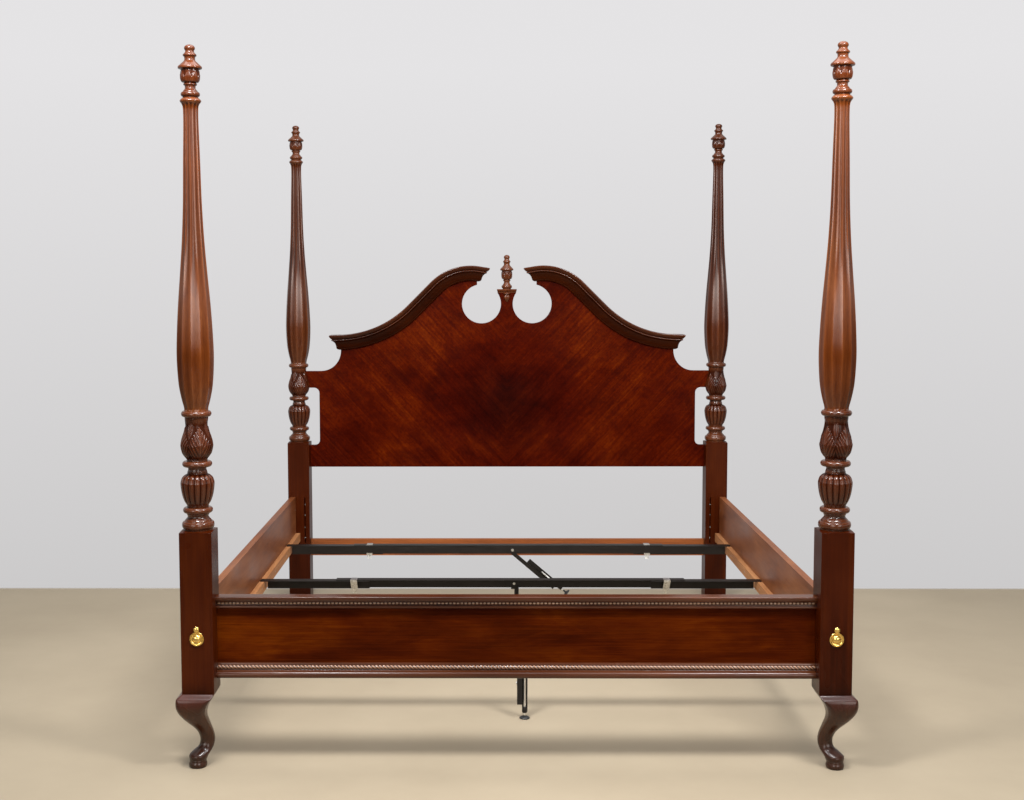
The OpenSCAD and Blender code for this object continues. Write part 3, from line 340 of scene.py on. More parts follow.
def carved_away(target, rings):
    """Cuts a closed shape out of a mesh object and keeps the result as its mesh."""
    cutter = bpy.data.objects.new("cutter", skin("cutter", rings))
    bpy.context.scene.collection.objects.link(cutter)
    cut = target.modifiers.new("cut", "BOOLEAN")
    cut.object, cut.operation, cut.solver = cutter, "DIFFERENCE", "EXACT"
    bpy.context.view_layer.update()
    result = bpy.data.meshes.new_from_object(target.evaluated_get(bpy.context.evaluated_depsgraph_get()))
    target.modifiers.clear()
    target.data = result
    bpy.data.objects.remove(cutter)


for place, y, low, face in (("foot", foot_y, leg_h, 1), ("head", head_y, 0, -1)):
    for side, s in (("left", -1), ("right", 1)):
        rings = [[(x * end_shrink, v * end_shrink, z) for x, v, z in block_ring(low, uncut)],
                 block_ring(low + end_chamfer, uncut)]
        rings += [block_ring(z, uncut) for z in np.linspace(low + 40, block_top - shoulder_fall - 2, 9)]
        rings += [block_ring(z, reach) for z, reach in curve(shoulder, 3)]
        rings = [[(s * post_x + x, y + v, z) for x, v, z in ring] for ring in rings]
        block = piece(place + "_block_" + side, rings, dark_mahogany,
                      [place + "_post_" + side], sharp=30)
        for off in (-kerf_off, kerf_off):
            x0, x1 = s * post_x + off - kerf_w / 2, s * post_x + off + kerf_w / 2
            y0, y1 = y + face * (half_block - kerf_depth), y + face * (half_block + cut_past_face)
            carved_away(block, [[(x0, y0, z), (x1, y0, z), (x1, y1, z), (x0, y1, z)][::face]
                                for z in (kerf_low, kerf_high)])
        pin_y = y + face * (half_block - pin_in)
        bore_ends = (post_x - half_block - cut_past_face, post_x + kerf_off + kerf_w / 2 + bore_past_kerf)
        for z in pin_levels:
            carved_away(block, [[(s * x, pin_y + bore_r * math.cos(a), z + bore_r * math.sin(a))
                                 for a in np.radians(np.arange(0, 360, 15))][::s] for x in bore_ends])
        block.data.set_sharp_from_angle(angle=math.radians(30))

# Posts: turned and carved balusters.
# Over the block the same mahogany is turned with rings and hollows, the bulb is carved into
# sixteen lobes and the vase into four acanthus leaves with a bud between each two.
torus = (752, 774, 43.5, 49.5)
lower_ring = (800, 818, 37.5, 45.5)
middle_ring = (943, 961, 37.5, 45.5)
upper_ring = (1098, 1116, 38.5, 46)
bulb_z, bulb_h, bulb_r = 818, 106, 52
vase_z, vase_h, vase_r = 961, 137, 50.5
bulb_shape = [(0.62, 0), (0.66, 0.07), (0.80, 0.19), (0.93, 0.40), (1, 0.66), (0.97, 0.78), (0.87, 0.89),
              (0.60, 1)]
vase_shape = [(0.62, 0), (0.65, 0.05), (0.80, 0.12), (0.92, 0.20), (1, 0.335), (0.985, 0.41), (0.92, 0.52),
              (0.81, 0.64), (0.735, 0.76), (0.70, 0.87), (0.715, 1)]
full_hollow = 3.2
lobe_deep = 3.4
ground_deep = 2.5


def ogee(z0, r0, z1, r1, n=14):
    """An S curve between two radii."""
    t = np.arange(n + 1) / n
    return np.stack([r0 + (r1 - r0) * (1 - np.cos(np.pi * t)) / 2, z0 + (z1 - z0) * t], 1)


def bead(z0, z1, core, top, n=18):
    """A half round ring that stands on the core."""
    t = np.pi * np.arange(n + 1) / n
    return np.stack([core + (top - core) * np.sin(t), (z0 + z1) / 2 - (z1 - z0) / 2 * np.cos(t)], 1)


def shaped(shape, z0, height, radius, n=12):
    """A smooth outline from shares of a radius and a height."""
    return curve(shape, n) * (radius, height) + (0, z0)


def lathe(name, outline, at, finish, stands_for, relief, angles, sharp):
    """Turns an outline of radius and height round an upright axis, with a relief cut into it."""
    a, z = np.meshgrid(angles, outline[:, 1])
    radius = np.repeat(outline[:, :1], len(angles), 1)
    depth = relief(a, z, radius)
    rings = np.stack([at[0] + (radius - depth) * np.cos(a), at[1] + (radius - depth) * np.sin(a), z], 2)
    piece(name, rings, finish, stands_for, sharp=sharp, hollow=np.clip(depth / full_hollow, 0, 1))


def smooth(edge0, edge1, value):
    """A soft step from 0 to 1 between two edges."""
    t = np.clip((value - edge0) / (edge1 - edge0), 0, 1)
    return t * t * (3 - 2 * t)


def bulb_lobes(a, z, phase):
    """Sixteen convex lobes with rounded tops."""
    v = (z - bulb_z) / bulb_h
    t = 2 * np.mod((a - phase) * 16 / (2 * math.pi), 1) - 1
    across = (1 - np.sqrt(1 - 0.97 * t ** 2)) / 0.83
    top = 0.955 - 0.13 * across ** 1.5
    outside = smooth(top - 0.03, top + 0.015, v)
    lobes = (0.3 + 3.3 * across) * smooth(0.0, 0.22, v)
    depth = lobes * (1 - outside) + lobe_deep * outside * (1 - smooth(0.975, 1, v))
    return np.where((v > 0) & (v < 1), depth, 0)


def vase_leaves(a, z, phase):
    """Four broad leaves with a midrib and curling side lobes, and a bud over the gap between two."""
    v = (z - vase_z) / vase_h
    u = 2 * np.mod((a - phase) * 4 / (2 * math.pi), 1) - 1
    side_u = np.abs(u)
    width = np.interp(v, [0, 0.05, 0.16, 0.34, 0.48, 0.60, 0.70, 0.78],
                      [0.86, 0.92, 0.98, 0.98, 0.84, 0.60, 0.32, 0.02])
    fan = 6.2 * v - 2.6 * side_u - 1.1 * side_u ** 2
    width = width * (1 + 0.13 * np.cos(2 * math.pi * (fan + 0.15)) * smooth(0.12, 0.3, v))
    inside = smooth(-0.02, 0.10, width - side_u)
    lobes = 0.5 - 0.5 * np.cos(2 * math.pi * fan)
    body = 0.5 + 1.5 * lobes * smooth(0.05, 0.24, side_u) + 0.9 * (side_u / np.maximum(width, 0.2)) ** 3
    body -= 0.5 * smooth(0.09, 0.0, side_u)
    body += 0.8 * smooth(0.05, 0.10, side_u) * (1 - smooth(0.10, 0.17, side_u))
    gap = 1 - side_u
    bud_w = np.interp(v, [0.52, 0.62, 0.74, 0.84, 0.90], [0.04, 0.24, 0.36, 0.24, 0.0])
    bud = smooth(-0.02, 0.10, bud_w - gap) * (v > 0.5)
    bud_depth = 0.7 + 1.2 * (0.5 - 0.5 * np.cos(2 * math.pi * (gap / np.maximum(bud_w, 0.1) * 1.5)))
    tip = smooth(0.10, 0.0, side_u) * smooth(0.80, 0.84, v) * (1 - smooth(0.90, 0.94, v))
    ground = ground_deep * smooth(0.02, 0.10, v) * (1 - smooth(0.80, 0.95, v))
    depth = ground * (1 - inside) * (1 - bud) + bud_depth * bud * (1 - inside) + body * inside - 0.9 * tip
    return np.where((v > 0.01) & (v < 0.99), np.maximum(depth, 0) * smooth(0.0, 0.06, v), 0)


baluster_outline = np.concatenate([
    [(43.4, 746), (43.5, 752)], bead(*torus), ogee(774, 41.5, 789.6, 31.9), ogee(789.6, 31.9, 800, 35.5, 8),
    bead(*lower_ring), shaped(bulb_shape, bulb_z, bulb_h, bulb_r, 13), bead(925, 929, 29.4, 30.6, 6),
    ogee(929.6, 29.2, 936, 27.8, 6), ogee(936, 27.8, 943, 29, 6), bead(*middle_ring),
    shaped(vase_shape, vase_z, vase_h, vase_r, 12), bead(*upper_ring), [(38.5, 1116)]])
# Painted shade darkens the hollows of the turning and the carving.
turned_mahogany = wood("turned_mahogany", "z", (0.046, 0.0096, 0.0026), (0.096, 0.0230, 0.0062),
                       (0.164, 0.046, 0.0140), roughness=0.19, coat=0.20, specular=0.34,
                       coat_roughness=0.08, hollow=1.0)
carving_angles = np.radians(np.arange(0, 360, 1.5))
bulb_turn = math.radians(-90)
posts = (("foot", "left", (-post_x, foot_y)), ("foot", "right", (post_x, foot_y)),
         ("head", "left", (-post_x, head_y)), ("head", "right", (post_x, head_y)))
# Each vase is carved by itself, so its leaves face a little to one side of the next one's.
leaf_turns = (-20, -15, -25, -10)
for (place, side, at), turn in zip(posts, leaf_turns):
    lathe(place + "_baluster_" + side, baluster_outline, at, turned_mahogany, [place + "_post_" + side],
          lambda a, z, r, turn=math.radians(turn): bulb_lobes(a, z, bulb_turn) + vase_leaves(a, z, turn),
          carving_angles, 50)

# Shafts.
# Each long mahogany shaft swells low down and is cut with twelve flutes: flat facets round the
# belly that turn hollow towards the thin top. A steel dowel bolt joins it to the baluster.
joint_z = 1116
shaft_h = 927
belly_r = 57.5
shaft_shape = [(0.64, 0), (0.66, 0.012), (0.80, 0.046), (0.93, 0.094), (1, 0.175), (0.965, 0.255),
               (0.87, 0.352), (0.73, 0.455), (0.60, 0.56), (0.505, 0.68), (0.452, 0.82), (0.40, 0.95),
               (0.415, 1)]
collar = [(23.6, 2034), (24.6, 2040), (27.0, 2046), (30.2, 2050.5), (31.9, 2053.5), (31.9, 2056),
          (30.4, 2058.5), (27.2, 2061.5), (26, 2063)]
under_collar = 2031
flute_low, flute_high = joint_z + 2, 2047
flute_round = 9
flute_half = 15
flute_steps = np.array([-15, -14.3, -12.8, -10, -6, -2, 2, 6, 10, 12.8, 14.3])
shaft_angles = np.radians(np.concatenate([flute_steps - 75 + 2 * flute_half * k for k in range(12)]))


def flutes(a, z, r):
    """Twelve facets that grow hollow higher up, with round ends; t runs across each from -1 to 1."""
    share = (z - joint_z) / shaft_h
    t = np.mod(np.degrees(a) + 90, 2 * flute_half) / flute_half - 1
    flat = r * (1 - math.cos(math.radians(flute_half)) / np.cos(np.radians(flute_half * t)))
    hollow = r * (0.004 + 0.080 * smooth(0.34, 0.66, share)) * (1 - t ** 2)
    round_end = flute_round * (1 - np.sqrt(np.clip(1 - t ** 2, 0, 1)))
    start, end = flute_low + round_end, flute_high - round_end
    kept = (1 - smooth(end - 3, end + 3, z)) * smooth(start - 2, start + 4, z)
    return np.where(z < flute_high + 4, (flat + hollow) * kept, 0)


shaft_outline = shaped(shaft_shape, joint_z, shaft_h, belly_r, 9)
shaft_outline = np.concatenate([shaft_outline[shaft_outline[:, 1] < under_collar], curve(collar, 4)])
# Painted shade darkens the flutes, and the head shafts get a darker copy of the finish as painted shade for
# the dimmer light at the head of the bed.
shaft_mahogany = wood("shaft_mahogany", "z", (0.080, 0.0170, 0.0032), (0.148, 0.037, 0.0070),
                      (0.226, 0.070, 0.0150), roughness=0.22, coat=0.30, hollow=0.65, specular=0.36)
shaded_head_shaft = wood("head_shaft_mahogany_painted_shade", "z", (0.050, 0.0100, 0.0026), (0.094, 0.0220, 0.0056),
                  (0.146, 0.043, 0.0120), roughness=0.20, coat=0.30, hollow=0.8, specular=0.36)
for place, side, at in posts:
    lathe(place + "_shaft_" + side, shaft_outline, at, shaft_mahogany if place == "foot" else shaded_head_shaft,
          [place + "_shaft_" + side], flutes, shaft_angles, 25)

# Finials.
# A turned and carved urn on each post: a ring, a lobed bowl, a lid with an ogee dome and a ball.
# A wooden pin under it drops into the shaft, so that it lifts off.
finial_z = 2063
finial_h = 160
finial_r = 36
middle_size = 0.86
leaf_ends = 0.515
finial_outline = np.concatenate([
    [(0.60, 0), (0.64, 0.012)], bead(0.03, 0.115, 0.66, 0.80, 14), ogee(0.118, 0.62, 0.19, 0.44),
    bead(0.235, 0.28, 0.46, 0.57, 8),
    curve([(0.50, 0.285), (0.70, 0.30), (0.80, 0.34), (0.84, 0.41), (0.82, 0.49), (0.80, 0.53)], 8),
    curve([(0.90, 0.543), (0.97, 0.548), (1, 0.558), (1, 0.582), (0.96, 0.596)], 3),
    curve([(0.84, 0.62), (0.72, 0.645), (0.60, 0.67), (0.49, 0.695), (0.445, 0.72), (0.45, 0.75)], 6),
    bead(0.775, 0.825, 0.47, 0.57, 8), curve([(0.44, 0.84), (0.385, 0.855), (0.367, 0.869)], 3),
    [(0.455 * math.sin(a), 0.93 - 0.07 * math.cos(a)) for a in np.linspace(0.95, math.pi - 0.02, 15)]])


def urn(name, base, ratio, at, stands_for):
    """A finial on its base, with eight pointed leaves round the bowl."""
    def leaves(a, z, r):
        v = (z - base) / finial_h
        t = np.abs(2 * np.mod(a * 8 / (2 * math.pi) + 0.5, 1) - 1)
        edge = leaf_ends - 0.13 * t ** 1.4
        outside = smooth(edge - 0.02, edge, v)
        leaf = (0.25 + 0.9 * smooth(0.02, 0.16, t) * (1 - smooth(0.3, 0.6, t))) * (1 - outside)
        ground = 2.0 * outside + 1.0 * smooth(0.86, 1.0, t)
        return (leaf + ground) * smooth(0.29, 0.34, v) * (1 - smooth(0.525, 0.54, v)) * ratio

    outline = finial_outline * (finial_r * ratio, finial_h) + (0, base)
    lathe(name, outline, at, turned_mahogany, stands_for, leaves, np.radians(np.arange(0, 360, 3)), 45)


for place, side, at in posts:
    urn(place + "_urn_" + side, finial_z, 1.0, at, [place + "_finial_" + side])

# Headboard panel.
# A flat panel faced with veneer leaves that are matched along its middle, so that their slanting
# grain meets in a V. It is sawn round the crest, shoulders and openings, and tongued into the posts.


def keep(node, finish, edge=0.0, segments=2, limit=40):
    """Keeps a solid of the frame: merges its facets, eases its edges and gives it a finish."""
    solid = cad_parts[node]
    weld = solid.modifiers.new("weld", "WELD")
    weld.merge_threshold = 0.00001
    if edge:
        plane = solid.modifiers.new("flat faces", "DECIMATE")
        plane.decimate_type = "DISSOLVE"
        plane.angle_limit = math.radians(0.6)
        ease = solid.modifiers.new("eased edges", "BEVEL")
        ease.width = edge * 0.001
        ease.segments = segments
        ease.limit_method = "ANGLE"
        ease.angle_limit = math.radians(limit)
        ease.harden_normals = True
    solid.data.materials.clear()
    solid.data.materials.append(finish)


panel_y = 1109
panel_t = 25
heart_z = 0.90
veneer = wood("headboard_veneer", "x", (0.030, 0.0013, 0.0001), (0.061, 0.0038, 0.0001),
              (0.106, 0.0104, 0.0002), roughness=0.38, coat=0.0, figure=19.0, streak=0.62, tilt=47,
              specular=0.035)
nodes, links = tree(veneer)
heart = nodes.new("ShaderNodeVectorMath")
heart.operation = "DISTANCE"
heart.inputs[1].default_value = (0, panel_y * 0.001, heart_z)
links.new(spot(nodes), heart.inputs[0])
blotches = noise(nodes, links, spot(nodes), (4.5, 4.5, 6), 3, 0.6, 0.6)
mottle = noise(nodes, links, spot(nodes), (75, 75, 75), 3, 0.6, 0.8)
tint(veneer, ramp(nodes, links, heart.outputs["Value"], [
    (0.06, (0.42, 0.34, 0.5)), (0.30, (0.86, 0.74, 0.9)), (0.52, (1.2, 1.4, 1.2)),
    (0.80, (1.0, 1.0, 1.0))]))
tint(veneer, ramp(nodes, links, blotches, [
    (0.34, (0.62, 0.52, 0.7)), (0.5, (0.95, 0.92, 1.0)), (0.66, (1.3, 1.55, 1.2))]))
tint(veneer, ramp(nodes, links, mottle, [(0.36, (0.78, 0.72, 0.8)), (0.64, (1.2, 1.3, 1.2))]))
keep("headboard_panel", veneer, 1.2, limit=50)

# Swan-neck crown mouldings.
# Two bent and carved mahogany mouldings are glued on the panel's edge: a fillet and a small bead on
# top, a deep cove and a lower bead. Both ends return to the panel in a mitre.
crown_top, crown_peak_x, crown_r_top = 1573, 170, 262
crown_slope, crown_straight, crown_r_out = 45, 152, 470
crown_in_x, crown_end_x = 128, 781
crown_h, crown_out = 72, 50
rise = math.radians(crown_slope)
top_z = crown_top - crown_r_top
slope_x = crown_peak_x + crown_r_top * math.sin(rise) + crown_straight * math.cos(rise)
slope_z = top_z + crown_r_top * math.cos(rise) - crown_straight * math.sin(rise)
hollow_x = slope_x + crown_r_out * math.sin(rise)
hollow_z = slope_z + crown_r_out * math.cos(rise)
inner_a = math.asin((crown_in_x - crown_peak_x) / crown_r_top)
outer_a = math.asin((hollow_x - crown_end_x) / crown_r_out)
crown_line = [(crown_peak_x + crown_r_top * math.sin(a), top_z + crown_r_top * math.cos(a), a)
              for a in np.linspace(inner_a, rise, 44)]
crown_line += [(hollow_x - crown_r_out * math.sin(a), hollow_z - crown_r_out * math.cos(a), a)
               for a in np.linspace(rise, outer_a, 60)]
crown_section = np.concatenate([
    [(0, 0), (0.94, 0), (0.985, 0.010), (1, 0.03), (1, 0.085)],
    curve([(0.985, 0.105), (0.93, 0.165), (0.84, 0.235), (0.77, 0.275)], 3), [(0.735, 0.287), (0.735, 0.298)],
    [(0.755 + 0.05 * math.sin(t), 0.339 - 0.040 * math.cos(t)) for t in np.linspace(0.1, math.pi - 0.1, 8)],
    [(0.735, 0.384), (0.715, 0.392)],
    curve([(0.66, 0.415), (0.56, 0.475), (0.48, 0.56), (0.425, 0.66), (0.395, 0.76), (0.385, 0.83)], 3),
    [(0.38, 0.855), (0.365, 0.88), (0.33, 0.91), (0.28, 0.938), (0.23, 0.957), (0.17, 0.975), (0, 1)]])


def crown_ring(s, station, ahead=0, back=False):
    """The moulding's section at one station; the ends are mitred and return to the panel's back."""
    x, z, a = station
    out = []
    for share_u, share_v in crown_section:
        u, v = share_u * crown_out, share_v * crown_h
        if ahead > 0:
            bx, bz = x, z - v / math.cos(a)
        else:
            bx, bz = x - v * math.sin(a), z - v * math.cos(a)
        out.append((s * (bx + ahead * u * math.cos(a)), panel_y + panel_t if back else panel_y - u,
                    bz - ahead * u * math.sin(a)))
    return out


crown_mahogany = wood("dark_mahogany_mouldings", "x", (0.034, 0.0062, 0.0010), (0.062, 0.0118, 0.0018),
                      (0.098, 0.022, 0.0034), roughness=0.24, coat=0.34, specular=0.14,
                      coat_roughness=0.10, hollow=1.0)
# Painted shade across the section, from its top to its lower edge: darkest in the quirks and the cove, none
# on the bead.
crown_painted_shade = [(0, 0.1), (0.09, 0.1), (0.20, 0.25), (0.28, 0.5), (0.292, 1), (0.31, 0.15), (0.34, 0),
                 (0.37, 0.15), (0.388, 1), (0.42, 0.55), (0.60, 0.7), (0.84, 0.75), (0.87, 0.9), (0.92, 0.2),
                 (1, 0.4)]
crown_shade_values = np.interp(crown_section[:, 1], *zip(*crown_painted_shade))
for side, s in (("left", -1), ("right", 1)):
    rings = [crown_ring(s, crown_line[0], -1, True), crown_ring(s, crown_line[0], -1)]
    rings += [crown_ring(s, station) for station in crown_line[1:-1]]
    rings += [crown_ring(s, crown_line[-1], 1), crown_ring(s, crown_line[-1], 1, True)]
    piece("swan_neck_" + side, rings, crown_mahogany, ["crown_moulding_" + side], sharp=32,
          hollow=np.tile(crown_shade_values, (len(rings), 1)))

# Plinth, carved drop and middle finial.
# Between the round openings the panel's neck carries a moulded cap with a smaller urn on it. A half
# round drop like an acorn is carved on the neck's front, under the cap.
neck_z = 1446
plinth_top = 1463
plinth_y = panel_y + panel_t / 2
keep("plinth_cap", turned_mahogany, 1.0)
drop_outline = curve([(1.5, -43), (4.2, -40), (6.8, -36.5), (11.4, -30), (13.7, -24), (14, -20),
                      (13.1, -15.5), (11, -11.5), (10, -9), (13, -7.6), (15.9, -6), (17, -3.2),
                      (16.2, -1), (14, 0)], 3)
drop_angles = np.radians(np.linspace(180, 360, 31))
drop = []
for r, z in drop_outline:
    grooved = min(max((-9 - z) / 6, 0), 1) * min(max((z + 41) / 8, 0), 1)
    reach = r - 1.8 * grooved * np.abs(np.sin(4 * drop_angles)) ** 3
    drop.append(np.stack([reach * np.cos(drop_angles), panel_y + reach * np.sin(drop_angles),
                          np.full(len(drop_angles), neck_z + z)], 1))
piece("carved_drop", drop, turned_mahogany, ["plinth_drop"], sharp=50,
      hollow=np.zeros((len(drop), len(drop_angles))))
urn("middle_urn", plinth_top, middle_size, (0, plinth_y), ["centre_finial"])

# Cross rail.
# A plain, unpolished hardwood rail that keeps the head posts apart low down. Its ends are tenoned
# into them.
bare_hardwood = wood("bare_hardwood", "x", (0.145, 0.036, 0.007), (0.28, 0.074, 0.013), (0.41, 0.124, 0.024),
                     roughness=0.55, coat=0.05, figure=9)
keep("head_cross_rail", bare_hardwood, 1.0)

# Footboard.
# A low mahogany panel with level grain between the foot posts. A moulded cap lies on its top edge; a
# bead moulding under the cap and a rope-and-cove moulding lower down are glued on its front.
foot_half = 929.8
foot_bottom = 279
board_top = 520
cap_front = foot_y - 8
cap_w, cap_t = 40, 16
foot_panel_back = 14
bead_pitch = 11.8
bead_r = 3.1
bead_in, bead_down = 2.4, 5
cove_h = 46
cove_r = 7.5
rope_pitch = 11.7
rope_twist = 0.55
rope_in, rope_down = 6.5, 14
rope_deep, rope_tall = 5.5, 6.4
foot_panel = wood("footboard_panel_wood", "x", (0.040, 0.0050, 0.0003), (0.082, 0.0112, 0.0004),
                  (0.150, 0.0260, 0.0008), roughness=0.36, coat=0.0, figure=14, streak=0.55, specular=0.03)
nodes, links = tree(foot_panel)
tint(foot_panel, ramp(nodes, links, noise(nodes, links, spot(nodes), (3.0, 5, 12), 4, 0.6, 0.8), [
    (0.36, (0.66, 0.56, 0.7)), (0.5, (0.92, 0.88, 1.0)), (0.64, (1.22, 1.4, 1.2))]))
keep("footboard_panel", foot_panel)
foot_mahogany = wood("footboard_mouldings_wood", "x", (0.038, 0.0088, 0.0024), (0.070, 0.0168, 0.0046),
                     (0.110, 0.030, 0.0090), roughness=0.20, coat=0.16, specular=0.36, coat_roughness=0.08)


def run(name, at_y, at_z, section, stands_for):
    """A moulding along the footboard, from its section as seen from the end."""
    rings = [[(x, at_y + y, at_z + z) for y, z in section] for x in np.linspace(-foot_half, foot_half, 12)]
    piece(name, rings, foot_mahogany, stands_for, sharp=32)


cap_edge = curve([(5, 0), (2.8, 2.8), (1.0, 5), (0.1, 7.4), (0, 10), (0, 13.4), (0.5, 15), (2.0, 15.8),
                  (4, cap_t)], 3)
cap = [(cap_w, 0), (cap_w, cap_t)] + list(cap_edge[::-1])
run("footboard_cap_rail", cap_front, board_top, cap, ["footboard_cap"])
under = [(foot_panel_back, 0), (-2, 0), (-2, -1.5), (2.2, -1.8), (2.6, -5), (2.2, -8.2), (4.2, -9.2),
         (5, -10.5), (4.6, -12.6), (3.2, -14.4), (1, -15.4), (0.4, -17.5), (0.8, -20.4), (2.6, -21.8),
         (4.4, -22.6), (7, -23.4), (foot_panel_back, -24)]
run("bead_moulding", foot_y, board_top, under, ["footboard_top_moulding"])
# Painted highlight and shade: the beads and the rope are painted pale, for the light that catches
# them, and nearly black in their hollows, where shade falls.
carving_with_painted_light = wood("carving_painted_highlight_and_shade", "x", (0.36, 0.20, 0.12), (0.56, 0.34, 0.21), (0.72, 0.48, 0.32),
              roughness=0.24, coat=0.5, specular=0.6)
nodes, links = tree(carving_with_painted_light)
depth = nodes.new("ShaderNodeAttribute")
depth.attribute_name = "hollow"
# Painted shade: the deeper parts of the beads and the rope are darkened almost to black.
tint(carving_with_painted_light, ramp(nodes, links, depth.outputs["Fac"], [
    (0.0, (1.0, 1.0, 1.0)), (0.3, (0.55, 0.42, 0.36)), (0.75, (0.06, 0.03, 0.02))]))
bead_angles = np.radians(np.arange(0, 360, 30))
rings, depths = [], []
for k in range(int(2 * foot_half / bead_pitch)):
    middle = -foot_half + 3 + bead_pitch * (k + 0.5)
    for t in np.linspace(-1, 1, 9):
        r = bead_r * math.sqrt(1 - (0.985 * t) ** 2) + 0.2
        rings.append([(middle + t * bead_pitch / 2, foot_y + bead_in + r * math.cos(a),
                       board_top - bead_down + r * math.sin(a)) for a in bead_angles])
        depths.append([abs(t) ** 2.5] * len(bead_angles))
piece("row_of_beads", rings, carving_with_painted_light, ["footboard_top_moulding"], sharp=70, hollow=depths)
roll = (cove_h - 26) / 2
cove = [(foot_panel_back, 0), (foot_panel_back, cove_h), (9, cove_h), (7.2, cove_h - 0.8),
        (6.4, cove_h - 2.4), (6.4, cove_h - 5), (5.4, cove_h - 7)]
cove += [(rope_in - math.sin(a), cove_h - rope_down + 6 * math.cos(a))
         for a in np.radians(np.linspace(20, 160, 6))]
cove += [(5, cove_h - 21.4), (3.6, cove_h - 23.2), (0.8, cove_h - 24.8), (-3, cove_h - 25.6)]
cove += [(-3 - cove_r * math.sin(a), roll + roll * math.cos(a)) for a in np.radians(np.linspace(8, 165, 14))]
cove += [(-3, 0)]
run("cove_moulding", foot_y, foot_bottom, cove, ["footboard_base_moulding"])
rope_angles = np.radians(np.arange(0, 360, 20))
rings, depths = [], []
for x in np.arange(-foot_half, foot_half + 0.1, rope_pitch / 9):
    off = abs(2 * ((x / rope_pitch + rope_twist * np.sin(rope_angles)) % 1) - 1)
    r = 1 - 0.30 * (1 - np.sqrt(1 - 0.98 * off ** 2))
    rings.append(np.stack([np.full(len(rope_angles), x),
                           foot_y + rope_in + rope_deep * r * np.cos(rope_angles),
                           foot_bottom + cove_h - rope_down + rope_tall * r * np.sin(rope_angles)], 1))
    depths.append(0.22 + 0.78 * off ** 2)
piece("rope_row", rings, carving_with_painted_light, ["footboard_base_moulding"], sharp=70, hollow=depths)

# Side rails.
# Long mahogany boards, polished on both faces. A kerf in each end holds a steel hook plate, screwed
# through, whose hooks drop over pins in the posts.
rail_wood = wood("side_rail_wood", "y", (0.105, 0.0270, 0.0085), (0.205, 0.064, 0.021), (0.300, 0.108, 0.040),
                 roughness=0.38, coat=0.0, figure=8, streak=0.35, specular=0.15)
for side in ("left", "right"):
    keep("side_rail_" + side, rail_wood, 2.0, segments=3, limit=60)


def mottled(name, roughness, scale, detail, fineness, tones, sheen=None, metallic=0.0, specular=0.5):
    """A surface whose colour, and gloss where it is given, vary with one noise."""
    made, nodes, links, shader = material(name, roughness, metallic, specular=specular)
    grain = noise(nodes, links, spot(nodes), scale, detail, fineness)
    links.new(ramp(nodes, links, grain, tones), shader.inputs["Base Color"])
    if sheen:
        links.new(ramp(nodes, links, grain, sheen), shader.inputs["Roughness"])
    return made


bare_steel = mottled("plain_steel_parts", 0.42, (220, 220, 220), 5, 0.55,
                     [(0.3, (0.30, 0.30, 0.31)), (0.7, (0.52, 0.52, 0.54))], metallic=1.0)
for node in ("hook_plates", "hook_pins", "ledger_screws", "shaft_bolts"):
    keep(node, bare_steel)

# Ledgers.
# Strips of raw softwood along the inner faces of the rails, each held by seven screws. The slats
# lie on them.
raw_pine = wood("raw_pine_strip", "y", (0.26, 0.100, 0.036), (0.42, 0.18, 0.068), (0.56, 0.27, 0.115),
                roughness=0.6, coat=0.0, figure=14, streak=0.6)
for side in ("left", "right"):
    keep("ledger_" + side, raw_pine, 0.8)

# Slats and clips.
# Each slat is a centre angle of black painted steel with an end angle sliding in each end. Bright
# zinc spring clips hold them together.
black_paint = mottled("black_paint", 0.42, (14, 90, 90), 6, 0.7,
                      [(0.30, (0.0045, 0.0032, 0.0026)), (0.62, (0.0085, 0.0060, 0.0048)),
                       (0.78, (0.022, 0.016, 0.012))], [(0.3, 0.34), (0.75, 0.55)], specular=0.3)
nodes, links = tree(black_paint)
orange_peel = noise(nodes, links, spot(nodes), (700, 700, 700), 3)
bump(nodes, links, nodes["Principled BSDF"], orange_peel, 0.12, 0.0002)
zinc = mottled("zinc_plate", 0.3, (120, 120, 120), 4, 0.6,
               [(0.3, (0.48, 0.48, 0.47)), (0.7, (0.78, 0.78, 0.76))], [(0.3, 0.24), (0.7, 0.42)], 1.0)
for place in ("front", "middle", "rear"):
    keep("slat_centre_" + place, black_paint, 0.7)
    for side in ("left", "right"):
        keep("slat_end_%s_%s" % (place, side), black_paint, 0.7)
keep("slat_clips", zinc, 0.4)
keep("plate_screws", zinc)
keep("leg_pivots", zinc, 0.5)

# Slat legs.
# A short angle turns on a rivet in the slat's upright flange. A second angle is bolted in it at one
# of several heights, and a screw glide in its end stands on the floor: a bare rod with a black foot.
leg_pivots = {"front": (0.032, -0.648, 0.303), "middle": (0.016, 0.094, 0.303),
              "rear": (0.020, 0.735, 0.303)}
leg_swings = {"front": 0, "middle": 0, "rear": math.radians(49.5)}
rod_end = 0.292
for place, swing in leg_swings.items():
    keep("slat_leg_" + place, black_paint, 0.6)
    keep("leg_extension_" + place, black_paint, 0.6)
    keep("leg_bolts_" + place, zinc, 0.5)
    glide, nodes, links, shader = material("glide_" + place, 0.35)
    down = nodes.new("ShaderNodeVectorMath")
    down.operation = "SUBTRACT"
    down.inputs[1].default_value = leg_pivots[place]
    links.new(spot(nodes), down.inputs[0])
    along = nodes.new("ShaderNodeVectorMath")
    along.operation = "DOT_PRODUCT"
    along.inputs[1].default_value = (math.sin(swing), 0, -math.cos(swing))
    links.new(down.outputs[0], along.inputs[0])
    bare = nodes.new("ShaderNodeMath")
    bare.operation = "LESS_THAN"
    bare.inputs[1].default_value = rod_end
    links.new(along.outputs["Value"], bare.inputs[0])
    tone = mix(nodes, links, (0.02, 0.02, 0.02), (0.66, 0.65, 0.62), bare.outputs[0])
    links.new(tone, shader.inputs["Base Color"])
    links.new(bare.outputs[0], shader.inputs["Metallic"])
    keep("leg_glide_" + place, glide)

